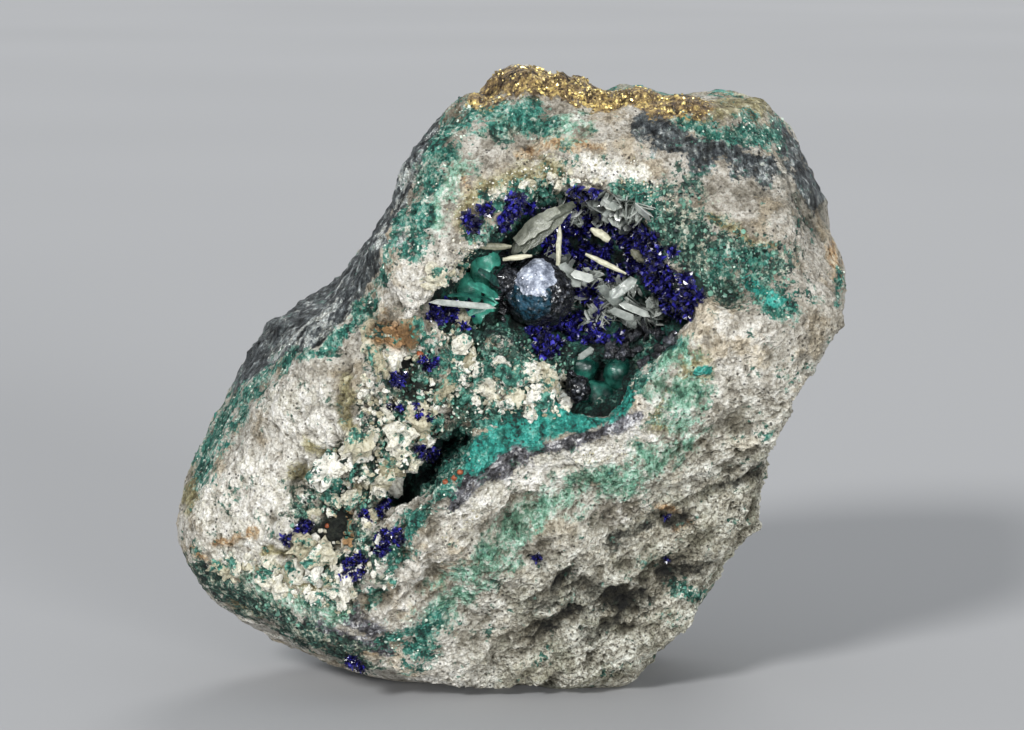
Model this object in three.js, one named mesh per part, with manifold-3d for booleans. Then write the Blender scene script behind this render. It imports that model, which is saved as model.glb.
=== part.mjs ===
// A clinoclase specimen that stands on its broken underside: a block of altered, quartz-rich
// rock whose front is broken open into a hollow, with rubble, a pocket and a crevice beside it
// and a knobbly seam of chalcopyrite grown on its top edge. One crust of crystals, thin plates
// and dark balls lines the hollow.
// Millimetres, +Z up, the broken front faces -Y, and the origin is under the block's middle.

import * as THREE from "three";
import { ImprovedNoise } from "three/addons/math/ImprovedNoise.js";
import { mergeVertices } from "three/addons/utils/BufferGeometryUtils.js";
import Module from "manifold-3d";

const wasm = await Module();
wasm.setup();

// ---- Driving dimensions -------------------------------------------------------------------

const CENTRE = new THREE.Vector3(2, 0, 37); // the point that the block is measured from
const CLEARANCE = 0.35; // between the hollow's crust and the rock that carries it
const BLOCK_DETAIL = 10; // splits of each face of the icosahedron that becomes the block
const FRONT_SHARE = 0.42; // how far the block's triangles are crowded towards the front

// The block's outline from the front, [x, z], clockwise from its left-hand upper corner.
const OUTLINE = [
  [-9.5, 64.4], [-6.8, 67], [-4.7, 68.3], [-0.6, 69.6], [2, 70.4], [5.2, 69.8], [10.6, 68.8],
  [14.1, 68.8], [19.3, 68], [23.1, 68.2], [26.4, 69.4], [29, 68.7], [31.6, 67], [33.9, 64.3],
  [35.5, 60.3], [37, 56.7], [37.2, 53.5], [38.4, 51], [39.4, 49.2], [38.2, 45.8], [35.5, 41.9],
  [33.6, 38.6], [31.8, 35.6], [29.5, 31.6], [29.9, 28.4], [29, 25.2], [28.8, 21],
  [26.9, 17.1], [23.3, 11.6], [19.6, 7.1], [16.6, 2.6], [14.8, -1.8], [6.5, -2], [-1.1, -1.6],
  [-9.5, -1.5], [-15.8, -0.2], [-22.3, 2], [-30.6, 4.8], [-34.4, 7.2], [-36.8, 11.4],
  [-37.6, 15.4], [-41, 22.2], [-38.4, 24], [-36.8, 25.9], [-37.4, 28.8], [-35.8, 32.1],
  [-32.4, 36.8], [-31.2, 39.4], [-27.9, 42.4], [-25, 43.2], [-21.5, 44.4], [-19, 47.8],
  [-14.9, 53.4], [-12.5, 57.4], [-12.1, 60.1],
];
const OUTLINE_DEPTH = 31; // half the depth at which the outline closes in to nothing
const HALF_DEPTH = 26; // half the block's depth, which the fractures are compared with

// The flat fractures that bound the block: the way each faces, and how far it is from CENTRE.
const FRACTURES = {
  front: { faces: [0.02, -1, 0.04], away: 24.6 },
  frontUpper: { faces: [0.04, -0.86, 0.5], away: 27 },
  frontLower: { faces: [0.16, -0.92, -0.36], away: 24.6 },
  frontLeft: { faces: [-0.43, -0.9, 0.03], away: 26.4 },
  leftFlank: { faces: [-0.81, -0.27, 0.53], away: 26.4 },
  underside: { faces: [-0.46, -0.4, -0.79], away: 40.4 },
  toe: { faces: [0, -0.4, -0.92], away: 36.6 },
  rightShoulder: { faces: [0.78, -0.34, 0.5], away: 39 },
  undersideBack: { faces: [-0.1, 0.66, -0.74], away: 34 },
  back: { faces: [0.05, 0.99, -0.1], away: 25 },
  backUpper: { faces: [-0.15, 0.84, 0.52], away: 29 },
  backRight: { faces: [0.74, 0.66, 0.1], away: 33 },
  backLeft: { faces: [-0.66, 0.72, -0.2], away: 31 },
};
const EDGE_SHARPNESS = 22; // higher numbers make the edges between fractures sharper

// Spaces broken or dissolved out of the front: middle, half sizes, turn about Y in degrees.
const HOLLOWS = {
  vug: { at: [7.4, -19.5, 50], half: [10.4, 11.5, 11], turn: 0 },
  vugLeft: { at: [-2, -19.5, 48.4], half: [7, 7.5, 5], turn: -14 },
  vugRight: { at: [14.6, -19.5, 44.6], half: [7, 8.5, 6.4], turn: 30 },
  pocket: { at: [9.6, -20, 37.8], half: [4.8, 8.5, 3.4], turn: -12 },
  shelf: { at: [23, -23, 53.4], half: [8.4, 5, 6.6], turn: 16 },
  troughTop: { at: [-8, -25.5, 41.4], half: [10, 7, 7.6], turn: -30 },
  trough: { at: [-12.4, -25.5, 32.6], half: [10, 6.6, 7], turn: -50 },
  troughFoot: { at: [-20, -23, 22.6], half: [8.4, 6, 6.6], turn: -40 },
  crevice: { at: [-9, -21, 28.4], half: [8, 9, 1.9], turn: -40 },
  footPit: { at: [-22.6, -20, 24], half: [2.6, 5, 2.2], turn: 0 },
};
const LINED = ["vug", "vugLeft", "vugRight"]; // the hollows that the crystal crust lines

// ---- Solids and noise ---------------------------------------------------------------------

// A closed three.js geometry as a solid that can be joined and cut.
function solidOf(geometry) {
  const bare = geometry.clone();
  bare.deleteAttribute("normal");
  bare.deleteAttribute("uv");
  const merged = mergeVertices(bare, 1e-4);
  return new wasm.Manifold(
    new wasm.Mesh({
      numProp: 3,
      vertProperties: merged.getAttribute("position").array,
      triVerts: new Uint32Array(merged.index.array),
    }),
  );
}

// A solid as a flat-shaded three.js geometry.
function geometryOf(solid) {
  const { numProp, vertProperties, triVerts } = solid.getMesh();
  const points = new Float32Array((vertProperties.length / numProp) * 3);
  for (let i = 0; i < points.length / 3; i++)
    points.set(vertProperties.subarray(i * numProp, i * numProp + 3), i * 3);
  const geometry = new THREE.BufferGeometry();
  geometry.setAttribute("position", new THREE.BufferAttribute(points, 3));
  geometry.setIndex(new THREE.BufferAttribute(new Uint32Array(triVerts), 1));
  const flat = geometry.toNonIndexed();
  flat.computeVertexNormals();
  return flat;
}

const joined = (solids) => solids.reduce((sum, solid) => sum.add(solid));

// The largest body of a solid, without the crumbs that its cuts leave.
function largestBody(solid) {
  return solid.decompose().reduce((a, b) => (a.volume() > b.volume() ? a : b));
}

const perlin = new ImprovedNoise();

// Smooth noise from about -1 to 1 whose lumps are `size` millimetres across.
function lumps(point, size, shift = 0) {
  const k = 1 / size;
  return 1.6 * perlin.noise(point.x * k + shift, point.y * k + shift, point.z * k - shift);
}

// Random numbers from 0 to 1, the same ones on every run.
function dice(seed) {
  let state = seed;
  return () => {
    state = (state * 16807) % 2147483647;
    return state / 2147483647;
  };
}

// An icosphere whose points are put where `place` moves their unit directions.
function blob(detail, place) {
  const geometry = new THREE.IcosahedronGeometry(1, detail);
  const points = geometry.getAttribute("position");
  for (let i = 0; i < points.count; i++) {
    const direction = new THREE.Vector3().fromBufferAttribute(points, i).normalize();
    points.setXYZ(i, ...place(direction).toArray());
  }
  return solidOf(geometry);
}

// ---- The block ----------------------------------------------------------------------------

// How far the outline is from CENTRE at an angle, from a table of equal steps of angle.
const OUTLINE_STEPS = 720;
const outlineTable = new Array(OUTLINE_STEPS).fill(0);
const corners = OUTLINE.map(([x, z]) => new THREE.Vector3(x - CENTRE.x, z - CENTRE.z, 0));
const outlineCurve = new THREE.CatmullRomCurve3(corners, true, "centripetal");
for (const { x, y } of outlineCurve.getPoints(8 * OUTLINE_STEPS)) {
  const turn = Math.atan2(y, x) / (2 * Math.PI) + 1;
  outlineTable[Math.floor(turn * OUTLINE_STEPS) % OUTLINE_STEPS] = Math.hypot(x, y);
}

function outlineReach(angle) {
  const step = ((angle / (2 * Math.PI) + 1) * OUTLINE_STEPS) % OUTLINE_STEPS;
  const low = Math.floor(step);
  const high = (low + 1) % OUTLINE_STEPS;
  return THREE.MathUtils.lerp(outlineTable[low], outlineTable[high], step - low);
}

const fractures = Object.values(FRACTURES).map(({ faces, away }) => ({
  normal: new THREE.Vector3(...faces).normalize(),
  away,
}));

// The smaller of two lengths, rounded over where they are within `blend` of each other.
function softSmaller(a, b, blend) {
  const near = Math.max(0, blend - Math.abs(a - b)) / blend;
  return Math.min(a, b) - (near * near * blend) / 4;
}

// How far the block reaches from CENTRE along a unit direction, before its surface relief.
function blockReach(direction) {
  const sideways = Math.hypot(direction.x, direction.z);
  const outline = outlineReach(Math.atan2(direction.z, direction.x));
  const across = (sideways / outline) ** 6 + (Math.abs(direction.y) / OUTLINE_DEPTH) ** 6;
  let closeness = 1e-12;
  for (const { normal, away } of fractures)
    closeness += ((Math.max(0, normal.dot(direction)) * HALF_DEPTH) / away) ** EDGE_SHARPNESS;
  const fractured = HALF_DEPTH * closeness ** (-1 / EDGE_SHARPNESS);
  return softSmaller(across ** (-1 / 6), fractured, 2);
}

// Raised ridges on the front, [x, z] along each: the hollow's lip, and two welts on the slope.
const RIDGES = [
  { path: [[-15, 18], [-8.6, 26], [-3.6, 31.6], [5.8, 33.8], [12, 34.6], [15.4, 38.6]], up: 1.3, wide: 2.1 },
  { path: [[-2, 14], [12, 24], [26, 33]], up: 1.1, wide: 2.4 },
  { path: [[-4, 6], [10, 13], [24, 22]], up: 1, wide: 2.6 },
];

function distanceToPath(x, z, path) {
  const point = new THREE.Vector3(x, 0, z);
  const nearest = new THREE.Vector3();
  let least = Infinity;
  for (let i = 1; i < path.length; i++) {
    const [from, to] = [path[i - 1], path[i]].map(([a, b]) => new THREE.Vector3(a, 0, b));
    new THREE.Line3(from, to).closestPointToPoint(point, true, nearest);
    least = Math.min(least, nearest.distanceTo(point));
  }
  return least;
}

function ridges({ x, y, z }) {
  const forward = THREE.MathUtils.smoothstep(-y, 6, 12);
  const raise = (sum, { path, up, wide }) =>
    sum + up * Math.exp(-((distanceToPath(x, z, path) / wide) ** 2));
  return forward * RIDGES.reduce(raise, 0);
}

// Broken ledges across the lower right of the front: steps that climb to the right.
const LEDGE = { slope: 0.55, spacing: 6.4, height: 1.3, from: 34, left: -8 };
function ledges(point) {
  const across = point.z - LEDGE.slope * (point.x - CENTRE.x);
  const below = THREE.MathUtils.smoothstep(LEDGE.from - across, 0, 6);
  const right = THREE.MathUtils.smoothstep(point.x, LEDGE.left, LEDGE.left + 10);
  const forward = THREE.MathUtils.smoothstep(-point.y, 4, 12);
  const wave = across / LEDGE.spacing + 0.35 * lumps(point, 14, 3);
  return LEDGE.height * below * right * forward * (wave - Math.floor(wave) - 0.5);
}

// The block's surface point along a unit direction, drawn in by `inset`.
function blockPoint(direction, inset = 0) {
  const reach = blockReach(direction);
  const point = direction.clone().multiplyScalar(reach).add(CENTRE);
  const offSilhouette = 0.25 + 0.75 * THREE.MathUtils.smoothstep(Math.abs(point.y), 3, 12);
  const rough = offSilhouette * (1.3 * lumps(point, 11) + 0.9 * lumps(point, 4.6, 7));
  const relief = rough + ledges(point) + ridges(point) - inset;
  return direction.clone().multiplyScalar(reach + relief).add(CENTRE);
}

function blockSolid(detail, inset) {
  return blob(detail, (direction) => {
    direction.y -= FRONT_SHARE;
    return blockPoint(direction.normalize(), inset);
  });
}

// ---- Hollows ------------------------------------------------------------------------------

// How much a hollow is swollen at a point measured from its middle.
function hollowRoughness(point, middle) {
  return 1 + 0.13 * lumps(point, 4.5, middle.x) + 0.05 * lumps(point, 2.2, middle.z);
}

// A hollow's outer surface, drawn in by `inset`.
function hollowSolid({ at, half, turn }, inset = 0) {
  const middle = new THREE.Vector3(...at);
  const radii = new THREE.Vector3(...half);
  const turned = new THREE.Matrix4().makeRotationY(THREE.MathUtils.degToRad(turn));
  const detail = THREE.MathUtils.clamp(Math.round(Math.min(...half) / 2.2), 1, 3);
  return blob(detail, (direction) => {
    const point = direction.multiply(radii);
    const away = point.length();
    point.multiplyScalar((hollowRoughness(point, middle) * away - inset) / away);
    return point.applyMatrix4(turned).add(middle);
  });
}

// How deep (towards +Y) the named hollows go at x, z; -Infinity where there is none.
function hollowDepth(x, z, names = Object.keys(HOLLOWS)) {
  const depths = names.map((name) => {
    const { at, half, turn } = HOLLOWS[name];
    const point = new THREE.Vector3(x - at[0], 0, z - at[2]);
    point.applyAxisAngle(new THREE.Vector3(0, 1, 0), -THREE.MathUtils.degToRad(turn));
    const inside = 1 - (point.x / half[0]) ** 2 - (point.z / half[2]) ** 2;
    if (inside <= 0) return -Infinity;
    point.y = half[1] * Math.sqrt(inside);
    return at[1] + point.y * hollowRoughness(point, new THREE.Vector3(...at));
  });
  return Math.max(...depths);
}

// The first rock that a line along +Y meets at x, z.
function frontAt(x, z) {
  let y = -30;
  for (; y < 0; y += 0.2) {
    const point = new THREE.Vector3(x, y, z).sub(CENTRE);
    if (point.length() < blockReach(point.clone().normalize())) break;
  }
  return new THREE.Vector3(x, Math.max(y, hollowDepth(x, z)), z);
}

// ---- Small forms fused to what they grow from -----------------------------------------------

// A rough lump of the given half sizes about `middle`.
function lump(middle, half, shift, detail) {
  const radii = new THREE.Vector3(...half);
  return blob(detail, (direction) => {
    const rough = 1 + 0.3 * lumps(direction, 0.9, shift);
    return direction.multiply(radii).multiplyScalar(rough).add(middle);
  });
}

// A flat-faced crystal with a chisel tip, its root at `root`, pointing along `way`.
function crystal(root, way, length, width, spin) {
  const profile = [[0, -0.3], [0.5, -0.3], [0.5, 0.65], [0, 1]];
  const points = profile.map(([r, h]) => new THREE.Vector2(r * width, h * length));
  const geometry = new THREE.LatheGeometry(points, 4);
  geometry.scale(1, 1, 0.5);
  geometry.rotateY(spin);
  const up = new THREE.Vector3(0, 1, 0);
  geometry.applyQuaternion(new THREE.Quaternion().setFromUnitVectors(up, way.normalize()));
  geometry.translate(...root.toArray());
  return solidOf(geometry);
}

// Crumbly quartz rubble in the trough and along the hollow's rim: [x, z, radius].
const RUBBLE = [
  [-14.4, 44, 2.4], [-10.4, 41.6, 3], [-5.8, 42.8, 2.3], [-2.8, 38.8, 3], [-8.4, 37, 3.2],
  [-14.6, 38.6, 2.6], [-12.2, 33.2, 2.7], [-17.2, 33, 3.1], [2.4, 38.6, 2.8], [-18.4, 28.4, 3],
  [-19.8, 23.4, 2.3], [-16, 20.4, 2.8], [-21.6, 18.4, 3.2], [-26, 21.6, 2.7], [-5.4, 34.4, 2.2],
  [10.6, 62, 2.6], [20.2, 43, 2.3],
];

// Blue clusters out on the rock, each a spray of crystals: [x, z].
const BLUE_CLUSTERS = [[-13.5, 20], [-17.6, 16.7], [-11.8, 35.6], [-24.4, 20.8], [-9.7, 41.4]];
const SPRAY = 3;

function blueCluster(x, z, roll) {
  const root = frontAt(x, z);
  const sprays = Array.from({ length: SPRAY }, (_, k) => {
    const around = (k / SPRAY) * 2 * Math.PI + roll();
    const way = new THREE.Vector3(Math.cos(around), -1.2, Math.sin(around));
    const foot = root.clone().add(new THREE.Vector3(roll() - 0.5, 0.2, roll() - 0.5));
    return crystal(foot, way, 2.1, 1.2, 3 * roll());
  });
  return joined(sprays);
}

// Knobs of the chalcopyrite seam along the top edge: [x, y, height of its top, half length].
const SEAM_KNOBS = [
  [-3.8, -6, 70.2, 3.6], [1.2, -5, 73.2, 4.6], [5.8, -6, 72, 3.4], [10.6, -7, 70.4, 2.6],
  [14.6, -6.6, 70.7, 3.2], [19.6, -6.6, 69.6, 3.6], [23.6, -6, 69.2, 2.4],
];
const KNOB = { halfDepth: 5.6, halfHeight: 3.4 };

function seamKnob([x, y, top, half], k) {
  const middle = new THREE.Vector3(x, y, top - KNOB.halfHeight);
  return lump(middle, [half, KNOB.halfDepth, KNOB.halfHeight], 2 * k, half > 3 ? 1 : 0);
}

// ---- The matrix ---------------------------------------------------------------------------

const UNDERSIDE = new THREE.BoxGeometry(200, 200, 20).translate(0, 0, -10);

function matrixSolid() {
  const roll = dice(41);
  const hollows = Object.values(HOLLOWS).map((hollow) => hollowSolid(hollow));
  const rubble = RUBBLE.map(([x, z, radius], k) => {
    const middle = frontAt(x, z).add(new THREE.Vector3(0, 0.15 * radius, 0));
    return lump(middle, [radius, 0.9 * radius, 0.85 * radius], 5 * k, 0);
  });
  const clusters = BLUE_CLUSTERS.map(([x, z]) => blueCluster(x, z, roll));
  const lined = LINED.map((name) => hollowSolid(HOLLOWS[name]));
  const rock = blockSolid(BLOCK_DETAIL, 0)
    .subtract(joined(hollows))
    .add(joined([...rubble, ...SEAM_KNOBS.map(seamKnob)]))
    .subtract(joined(lined))
    .add(joined(clusters))
    .subtract(solidOf(UNDERSIDE));
  return largestBody(rock);
}

// ---- The crust in the hollow ----------------------------------------------------------------

const CRUST = { thickness: 1, rimInset: 3 };

// Blue crystal patches on the hollow's wall: middle x, z, radius, and how many crystals.
const CRYSTAL_PATCHES = [
  [11.4, 55, 5, 15], [-0.2, 56.4, 2.6, 5], [18.4, 47.4, 3.4, 5], [8.6, 43.6, 4, 6],
  [-5, 45, 3, 3],
];

// Thin plates that stand on the hollow's wall: middle x, z, length, width, thickness, turns
// about Y and then about the plate's own length.
const PLATES = [
  { at: [3.2, 55.2], size: [8.6, 7, 0.6], turn: -32, tip: 66 },
  { at: [11.2, 50.8], size: [6, 7, 0.6], turn: 18, tip: 80 },
  { at: [13.4, 47.6], size: [6, 6, 0.6], turn: 30, tip: 55 },
  { at: [10.2, 46], size: [5.6, 6, 0.6], turn: -48, tip: 60 },
  { at: [13.4, 57], size: [4.4, 5, 0.6], turn: 24, tip: 70 },
  { at: [-4.6, 46.8], size: [7.6, 4, 0.6], turn: 8, tip: 70 },
];

// Balls of fine crystals: middle x, z and radius.
const BALLS = [[3.5, 47.8, 4.1], [-0.6, 49.8, 1.6], [15, 42.4, 2.3]];

function linedSpace(inset) {
  return joined(LINED.map((name) => hollowSolid(HOLLOWS[name], inset)));
}

// The crust's own surface at x, z, which its crystals, plates and balls grow from.
function crustAt(x, z) {
  return new THREE.Vector3(x, hollowDepth(x, z, LINED) - CLEARANCE - CRUST.thickness, z);
}

function plate({ at, size, turn, tip }) {
  const [length, width, thickness] = size;
  const outline = [[-0.5, -0.2], [-0.3, -0.5], [0.4, -0.42], [0.5, 0.1], [0.2, 0.5], [-0.4, 0.38]];
  const shape = new THREE.Shape(outline.map(([x, y]) => new THREE.Vector2(x * length, y * width)));
  const geometry = new THREE.ExtrudeGeometry(shape, { depth: thickness, bevelEnabled: false });
  geometry.rotateX(THREE.MathUtils.degToRad(tip));
  geometry.rotateY(THREE.MathUtils.degToRad(turn));
  const outward = crustAt(...at).add(new THREE.Vector3(0, -0.36 * width, 0));
  geometry.translate(...outward.toArray());
  return solidOf(geometry);
}

function crystalPatch([x, z, radius, count], roll) {
  return Array.from({ length: count }, () => {
    const around = 2 * Math.PI * roll();
    let out = radius * Math.sqrt(roll());
    let root = crustAt(x + out * Math.cos(around), z + out * Math.sin(around));
    while (root.y === -Infinity) {
      out *= 0.8;
      root = crustAt(x + out * Math.cos(around), z + out * Math.sin(around));
    }
    const way = new THREE.Vector3(1.6 * roll() - 0.8, -1, 1.6 * roll() - 0.8);
    return crystal(root, way, 3 + 1.6 * roll(), 1.7, 3 * roll());
  });
}

function crustSolid() {
  const roll = dice(7);
  const gap = CLEARANCE + 0.15;
  const room = linedSpace(gap).intersect(blockSolid(BLOCK_DETAIL, CRUST.rimInset));
  const skin = linedSpace(gap).subtract(linedSpace(gap + CRUST.thickness));
  const crystals = CRYSTAL_PATCHES.flatMap((patch) => crystalPatch(patch, roll));
  const balls = BALLS.map(([x, z, radius], k) => {
    const middle = crustAt(x, z).add(new THREE.Vector3(0, -0.7 * radius, 0));
    return lump(middle, [radius, radius, radius], k, radius > 3 ? 2 : 1);
  });
  return largestBody(joined([skin, ...crystals, ...PLATES.map(plate), ...balls]).intersect(room));
}

// ---- The specimen -------------------------------------------------------------------------

const FINISHES = {
  matrix: { color: 0xb9b3a4, roughness: 0.95, metalness: 0 },
  clinoclase_crust: { color: 0x1c1850, roughness: 0.35, metalness: 0 },
};

function mesh(name, solid) {
  const made = new THREE.Mesh(geometryOf(solid), new THREE.MeshStandardMaterial(FINISHES[name]));
  made.name = name;
  return made;
}

const specimen = new THREE.Group();
specimen.add(mesh("matrix", matrixSolid()));
specimen.add(mesh("clinoclase_crust", crustSolid()));

const middle = new THREE.Box3().setFromObject(specimen).getCenter(new THREE.Vector3());
for (const piece of specimen.children) piece.geometry.translate(-middle.x, -middle.y, 0);

export default specimen;
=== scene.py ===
"""A clinoclase specimen: quartz-rich rock, broken open at the front into a crystal-lined hollow.

The rock is the CAD block, remeshed and roughened. What grows on it is a mesh of its own: blue
crystals, thin plates, dark balls, green domes, pale rubble and the golden seam. Places are in
millimetres of the CAD block, mostly as (x, z) seen from the front, and MM turns them into metres.
"""

import math

import bmesh
import bpy
import numpy as np
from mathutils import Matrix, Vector
from mathutils.bvhtree import BVHTree


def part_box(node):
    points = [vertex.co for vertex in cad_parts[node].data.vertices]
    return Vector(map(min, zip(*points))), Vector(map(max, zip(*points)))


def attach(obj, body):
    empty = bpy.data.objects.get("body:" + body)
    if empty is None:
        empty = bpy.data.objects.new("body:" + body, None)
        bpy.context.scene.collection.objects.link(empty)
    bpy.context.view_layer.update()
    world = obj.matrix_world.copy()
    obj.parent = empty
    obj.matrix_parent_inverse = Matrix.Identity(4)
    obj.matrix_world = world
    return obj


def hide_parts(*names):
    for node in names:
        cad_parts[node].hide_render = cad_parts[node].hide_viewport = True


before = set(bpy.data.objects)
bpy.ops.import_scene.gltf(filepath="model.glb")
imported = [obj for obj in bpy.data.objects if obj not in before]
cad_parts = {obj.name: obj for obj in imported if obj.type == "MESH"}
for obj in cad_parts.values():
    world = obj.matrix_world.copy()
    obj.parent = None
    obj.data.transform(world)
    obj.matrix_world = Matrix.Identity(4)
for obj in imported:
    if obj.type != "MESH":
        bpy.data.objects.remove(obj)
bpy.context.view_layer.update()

ROCK_LOW, ROCK_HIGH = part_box("matrix")
CAD_WIDTH = 78.9  # the block's width in the millimetres that the places below are given in
MM = (ROCK_HIGH.x - ROCK_LOW.x) / CAD_WIDTH
LOW = np.array(ROCK_LOW) / MM
HIGH = np.array(ROCK_HIGH) / MM

# ---- Noise and fields over arrays of points, in millimetres ----


def unit(vectors):
    return vectors / np.linalg.norm(vectors, axis=-1, keepdims=True)


SEEDED = np.random.default_rng(5)
CORNERS = np.array([(i, j, k) for i in (0, 1) for j in (0, 1) for k in (0, 1)])
NEIGHBOURS = np.array([(i, j, k) for i in (-1, 0, 1) for j in (-1, 0, 1) for k in (-1, 0, 1)])
SHUFFLE = SEEDED.permutation(256)
ARROWS = unit(SEEDED.normal(size=(256, 3)))
SPOTS = SEEDED.random((256, 3))


def hashed(cells):
    """A number from 0 to 255 for each row of three whole numbers."""
    first = SHUFFLE[cells[..., 0] % 256]
    second = SHUFFLE[(first + cells[..., 1]) % 256]
    return SHUFFLE[(second + cells[..., 2]) % 256]


def noise(points, size, seed=0):
    """Smooth noise from about -1 to 1, with lumps `size` across."""
    scaled = points / size + 37.3 * seed
    cell = np.floor(scaled).astype(int)
    inside = scaled - cell
    ease = inside**3 * (inside * (inside * 6 - 15) + 10)
    total = np.zeros(len(points))
    for corner in CORNERS:
        away = inside - corner
        weight = np.prod(np.where(corner, ease, 1 - ease), axis=1)
        total += weight * np.sum(ARROWS[hashed(cell + corner)] * away, axis=1)
    return 1.7 * total


def rough_noise(points, size, octaves, seed=0):
    """Noise of several sizes, each half the one before."""
    return sum(noise(points, size / 2**k, seed + k) / 2**k for k in range(octaves))


def nearest_spots(points, size, seed):
    """The scattered spot nearest to each point: its number, the way from it, and how far, in sizes."""
    scaled = points / size + 11.7 * seed
    cell = np.floor(scaled).astype(int)
    numbers = np.zeros(len(points), int)
    ways = np.zeros_like(scaled)
    nearest = np.full(len(points), 9.0)
    for step in NEIGHBOURS:
        number = hashed(cell + step)
        away = scaled - (cell + step) - SPOTS[number]
        distance = np.linalg.norm(away, axis=1)
        closer = distance < nearest
        numbers[closer] = number[closer]
        ways[closer] = away[closer]
        nearest[closer] = distance[closer]
    return numbers, ways, nearest


def cell_noise(points, size, seed=0):
    """How far each point is from the nearest of scattered spots, in sizes."""
    return nearest_spots(points, size, seed)[2]


def facets(points, size, seed=0):
    """Flat pieces `size` across, each tilted its own way, with a step where two meet: -0.8 to 0.8."""
    numbers, ways, _ = nearest_spots(points, size, seed)
    height = np.sum(ways * ARROWS[numbers], axis=1) * 0.7 + SPOTS[numbers, 0] - 0.5
    return np.clip(height, -0.8, 0.8)


def smoothstep(low, high, value):
    """0 at `low` and 1 at `high`, with a smooth rise between; `low` may be the larger."""
    share = np.clip((value - low) / (high - low), 0, 1)
    return share * share * (3 - 2 * share)


def distance_to_path(flat, path):
    """How far each (x, z) is from a line through the path's corners."""
    corners = np.array(path, float)
    least = np.linalg.norm(flat - corners[0], axis=1)
    for start, end in zip(corners[:-1], corners[1:]):
        along = end - start
        share = np.clip((flat - start) @ along / (along @ along), 0, 1)
        least = np.minimum(least, np.linalg.norm(flat - start - share[:, None] * along, axis=1))
    return least


def strokes_mask(points, strokes, warp=0.0, seed=0):
    """1 on each stroke's line, 0.5 at its half width and 0 beyond: [(path, half width), ...]."""
    flat = points[:, [0, 2]].copy()
    if warp:
        flat[:, 0] += warp * rough_noise(points, 4, 3, seed)
        flat[:, 1] += warp * rough_noise(points, 4, 3, seed + 9)
    mask = np.zeros(len(points))
    for path, half_width in strokes:
        mask = np.maximum(mask, 1 - distance_to_path(flat, path) / (2 * half_width))
    return np.clip(mask, 0, 1)


# ---- Where the minerals are, as strokes: (path of (x, z), half width) ----

# The lip below the hollow, the ridge where the front turns to the left face, and the dark edge
# at the upper right.
LIP = [(-3.6, 30.9), (-1.5, 32.3), (0.4, 33.3), (3.1, 33.9), (5.7, 34.6)]
LIP_END = [(5.7, 34.6), (8.5, 34.6), (10.2, 35.3), (11.8, 36.2), (12.9, 36.9)]
RIDGE = [(-30.6, 35), (-27.2, 37.8), (-24.8, 40.1), (-21.3, 41.7), (-19.5, 43.4), (-17.6, 44.7),
         (-15.4, 48.1), (-14.4, 49.5), (-13.2, 52.5), (-12.2, 56.3), (-10.5, 59.5), (-8.9, 62.8),
         (-6.8, 66.5)]
RIGHT_EDGE = [(31.4, 65), (33.5, 61.4), (35.4, 57.6)]
TEAL = [
    (LIP, 1.6),
    (LIP_END, 1.0),
    ([(26.8, 49.6), (28.6, 48.8), (30, 47.4)], 0.8),
    ([(21.2, 39.8), (22.6, 40.6)], 0.45),
]
VERDIGRIS = [
    ([(-4.4, 30.4), (-6.5, 28.2), (-8.4, 25.6), (-10, 23.4), (-11.6, 20.8), (-13, 18.2)], 1.0),
    ([(14, 38.6), (16.1, 41.3), (18.4, 43.1)], 0.6),
    ([(19.5, 67), (25.2, 65.6), (30.4, 65)], 1.3),
    ([(-4.4, 68.2), (-1, 67.6), (3, 67.2)], 1.6),
    ([(-3.6, 68.2), (-5.4, 66.2), (-7.7, 63.9), (-8.8, 60.7), (-9.6, 57.5), (-11, 54.2)], 1.4),
    (RIDGE, 0.6),
    ([(-35.8, 26.5), (-34.6, 29.4), (-33.2, 32.4), (-31.6, 34.8)], 1.8),
    ([(-12.2, 8.2), (-10, 6.9), (-9, 10.4)], 1.9),
    ([(-16, 12.8), (-15, 13.8)], 1.0),
    ([(-4, 55), (-1.6, 58), (2.4, 59), (5, 59.4)], 1.1),
    ([(12.4, 60.2), (15, 59.2), (16.8, 57)], 1.0),
    ([(-3, 54.6), (-0.6, 55)], 1.0),
    ([(-8.8, 40.6), (-4, 40.4), (0.6, 39.4)], 1.9),
    ([(-6, 36.8), (-4.6, 34.4)], 1.3),
    ([(-4.4, 33), (-1.4, 34.8), (2, 35.6)], 0.7),
    ([(-22, 27.6), (-18.6, 26.4)], 0.8),
    ([(29.5, 32.7)], 0.5),
    ([(37.6, 49.6), (36.8, 47.4)], 0.6),
    ([(20.4, 13.4), (22, 11.4)], 0.8),
    ([(23, 50.5), (28, 52)], 1.2),
    ([(26.4, 49.8), (28.8, 48.6), (30.4, 47.2)], 1.4),
]
PALE_GREEN = [
    ([(20.4, 38), (18.8, 32), (12.6, 27.6), (6.6, 25.8), (2.8, 23.8), (0.4, 21), (-2.6, 17.4),
      (-6.6, 13.4), (-9, 10.6)], 2.0),
    ([(16, 38.6), (19, 42)], 1.6),
    ([(-20, 12), (-26, 12.6), (-30, 14.6)], 1.6),
    ([(-6, 62), (-7.6, 56)], 1.5),
    ([(-2, 67.4), (3, 66.6), (8, 66.6)], 1.3),
]
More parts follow.
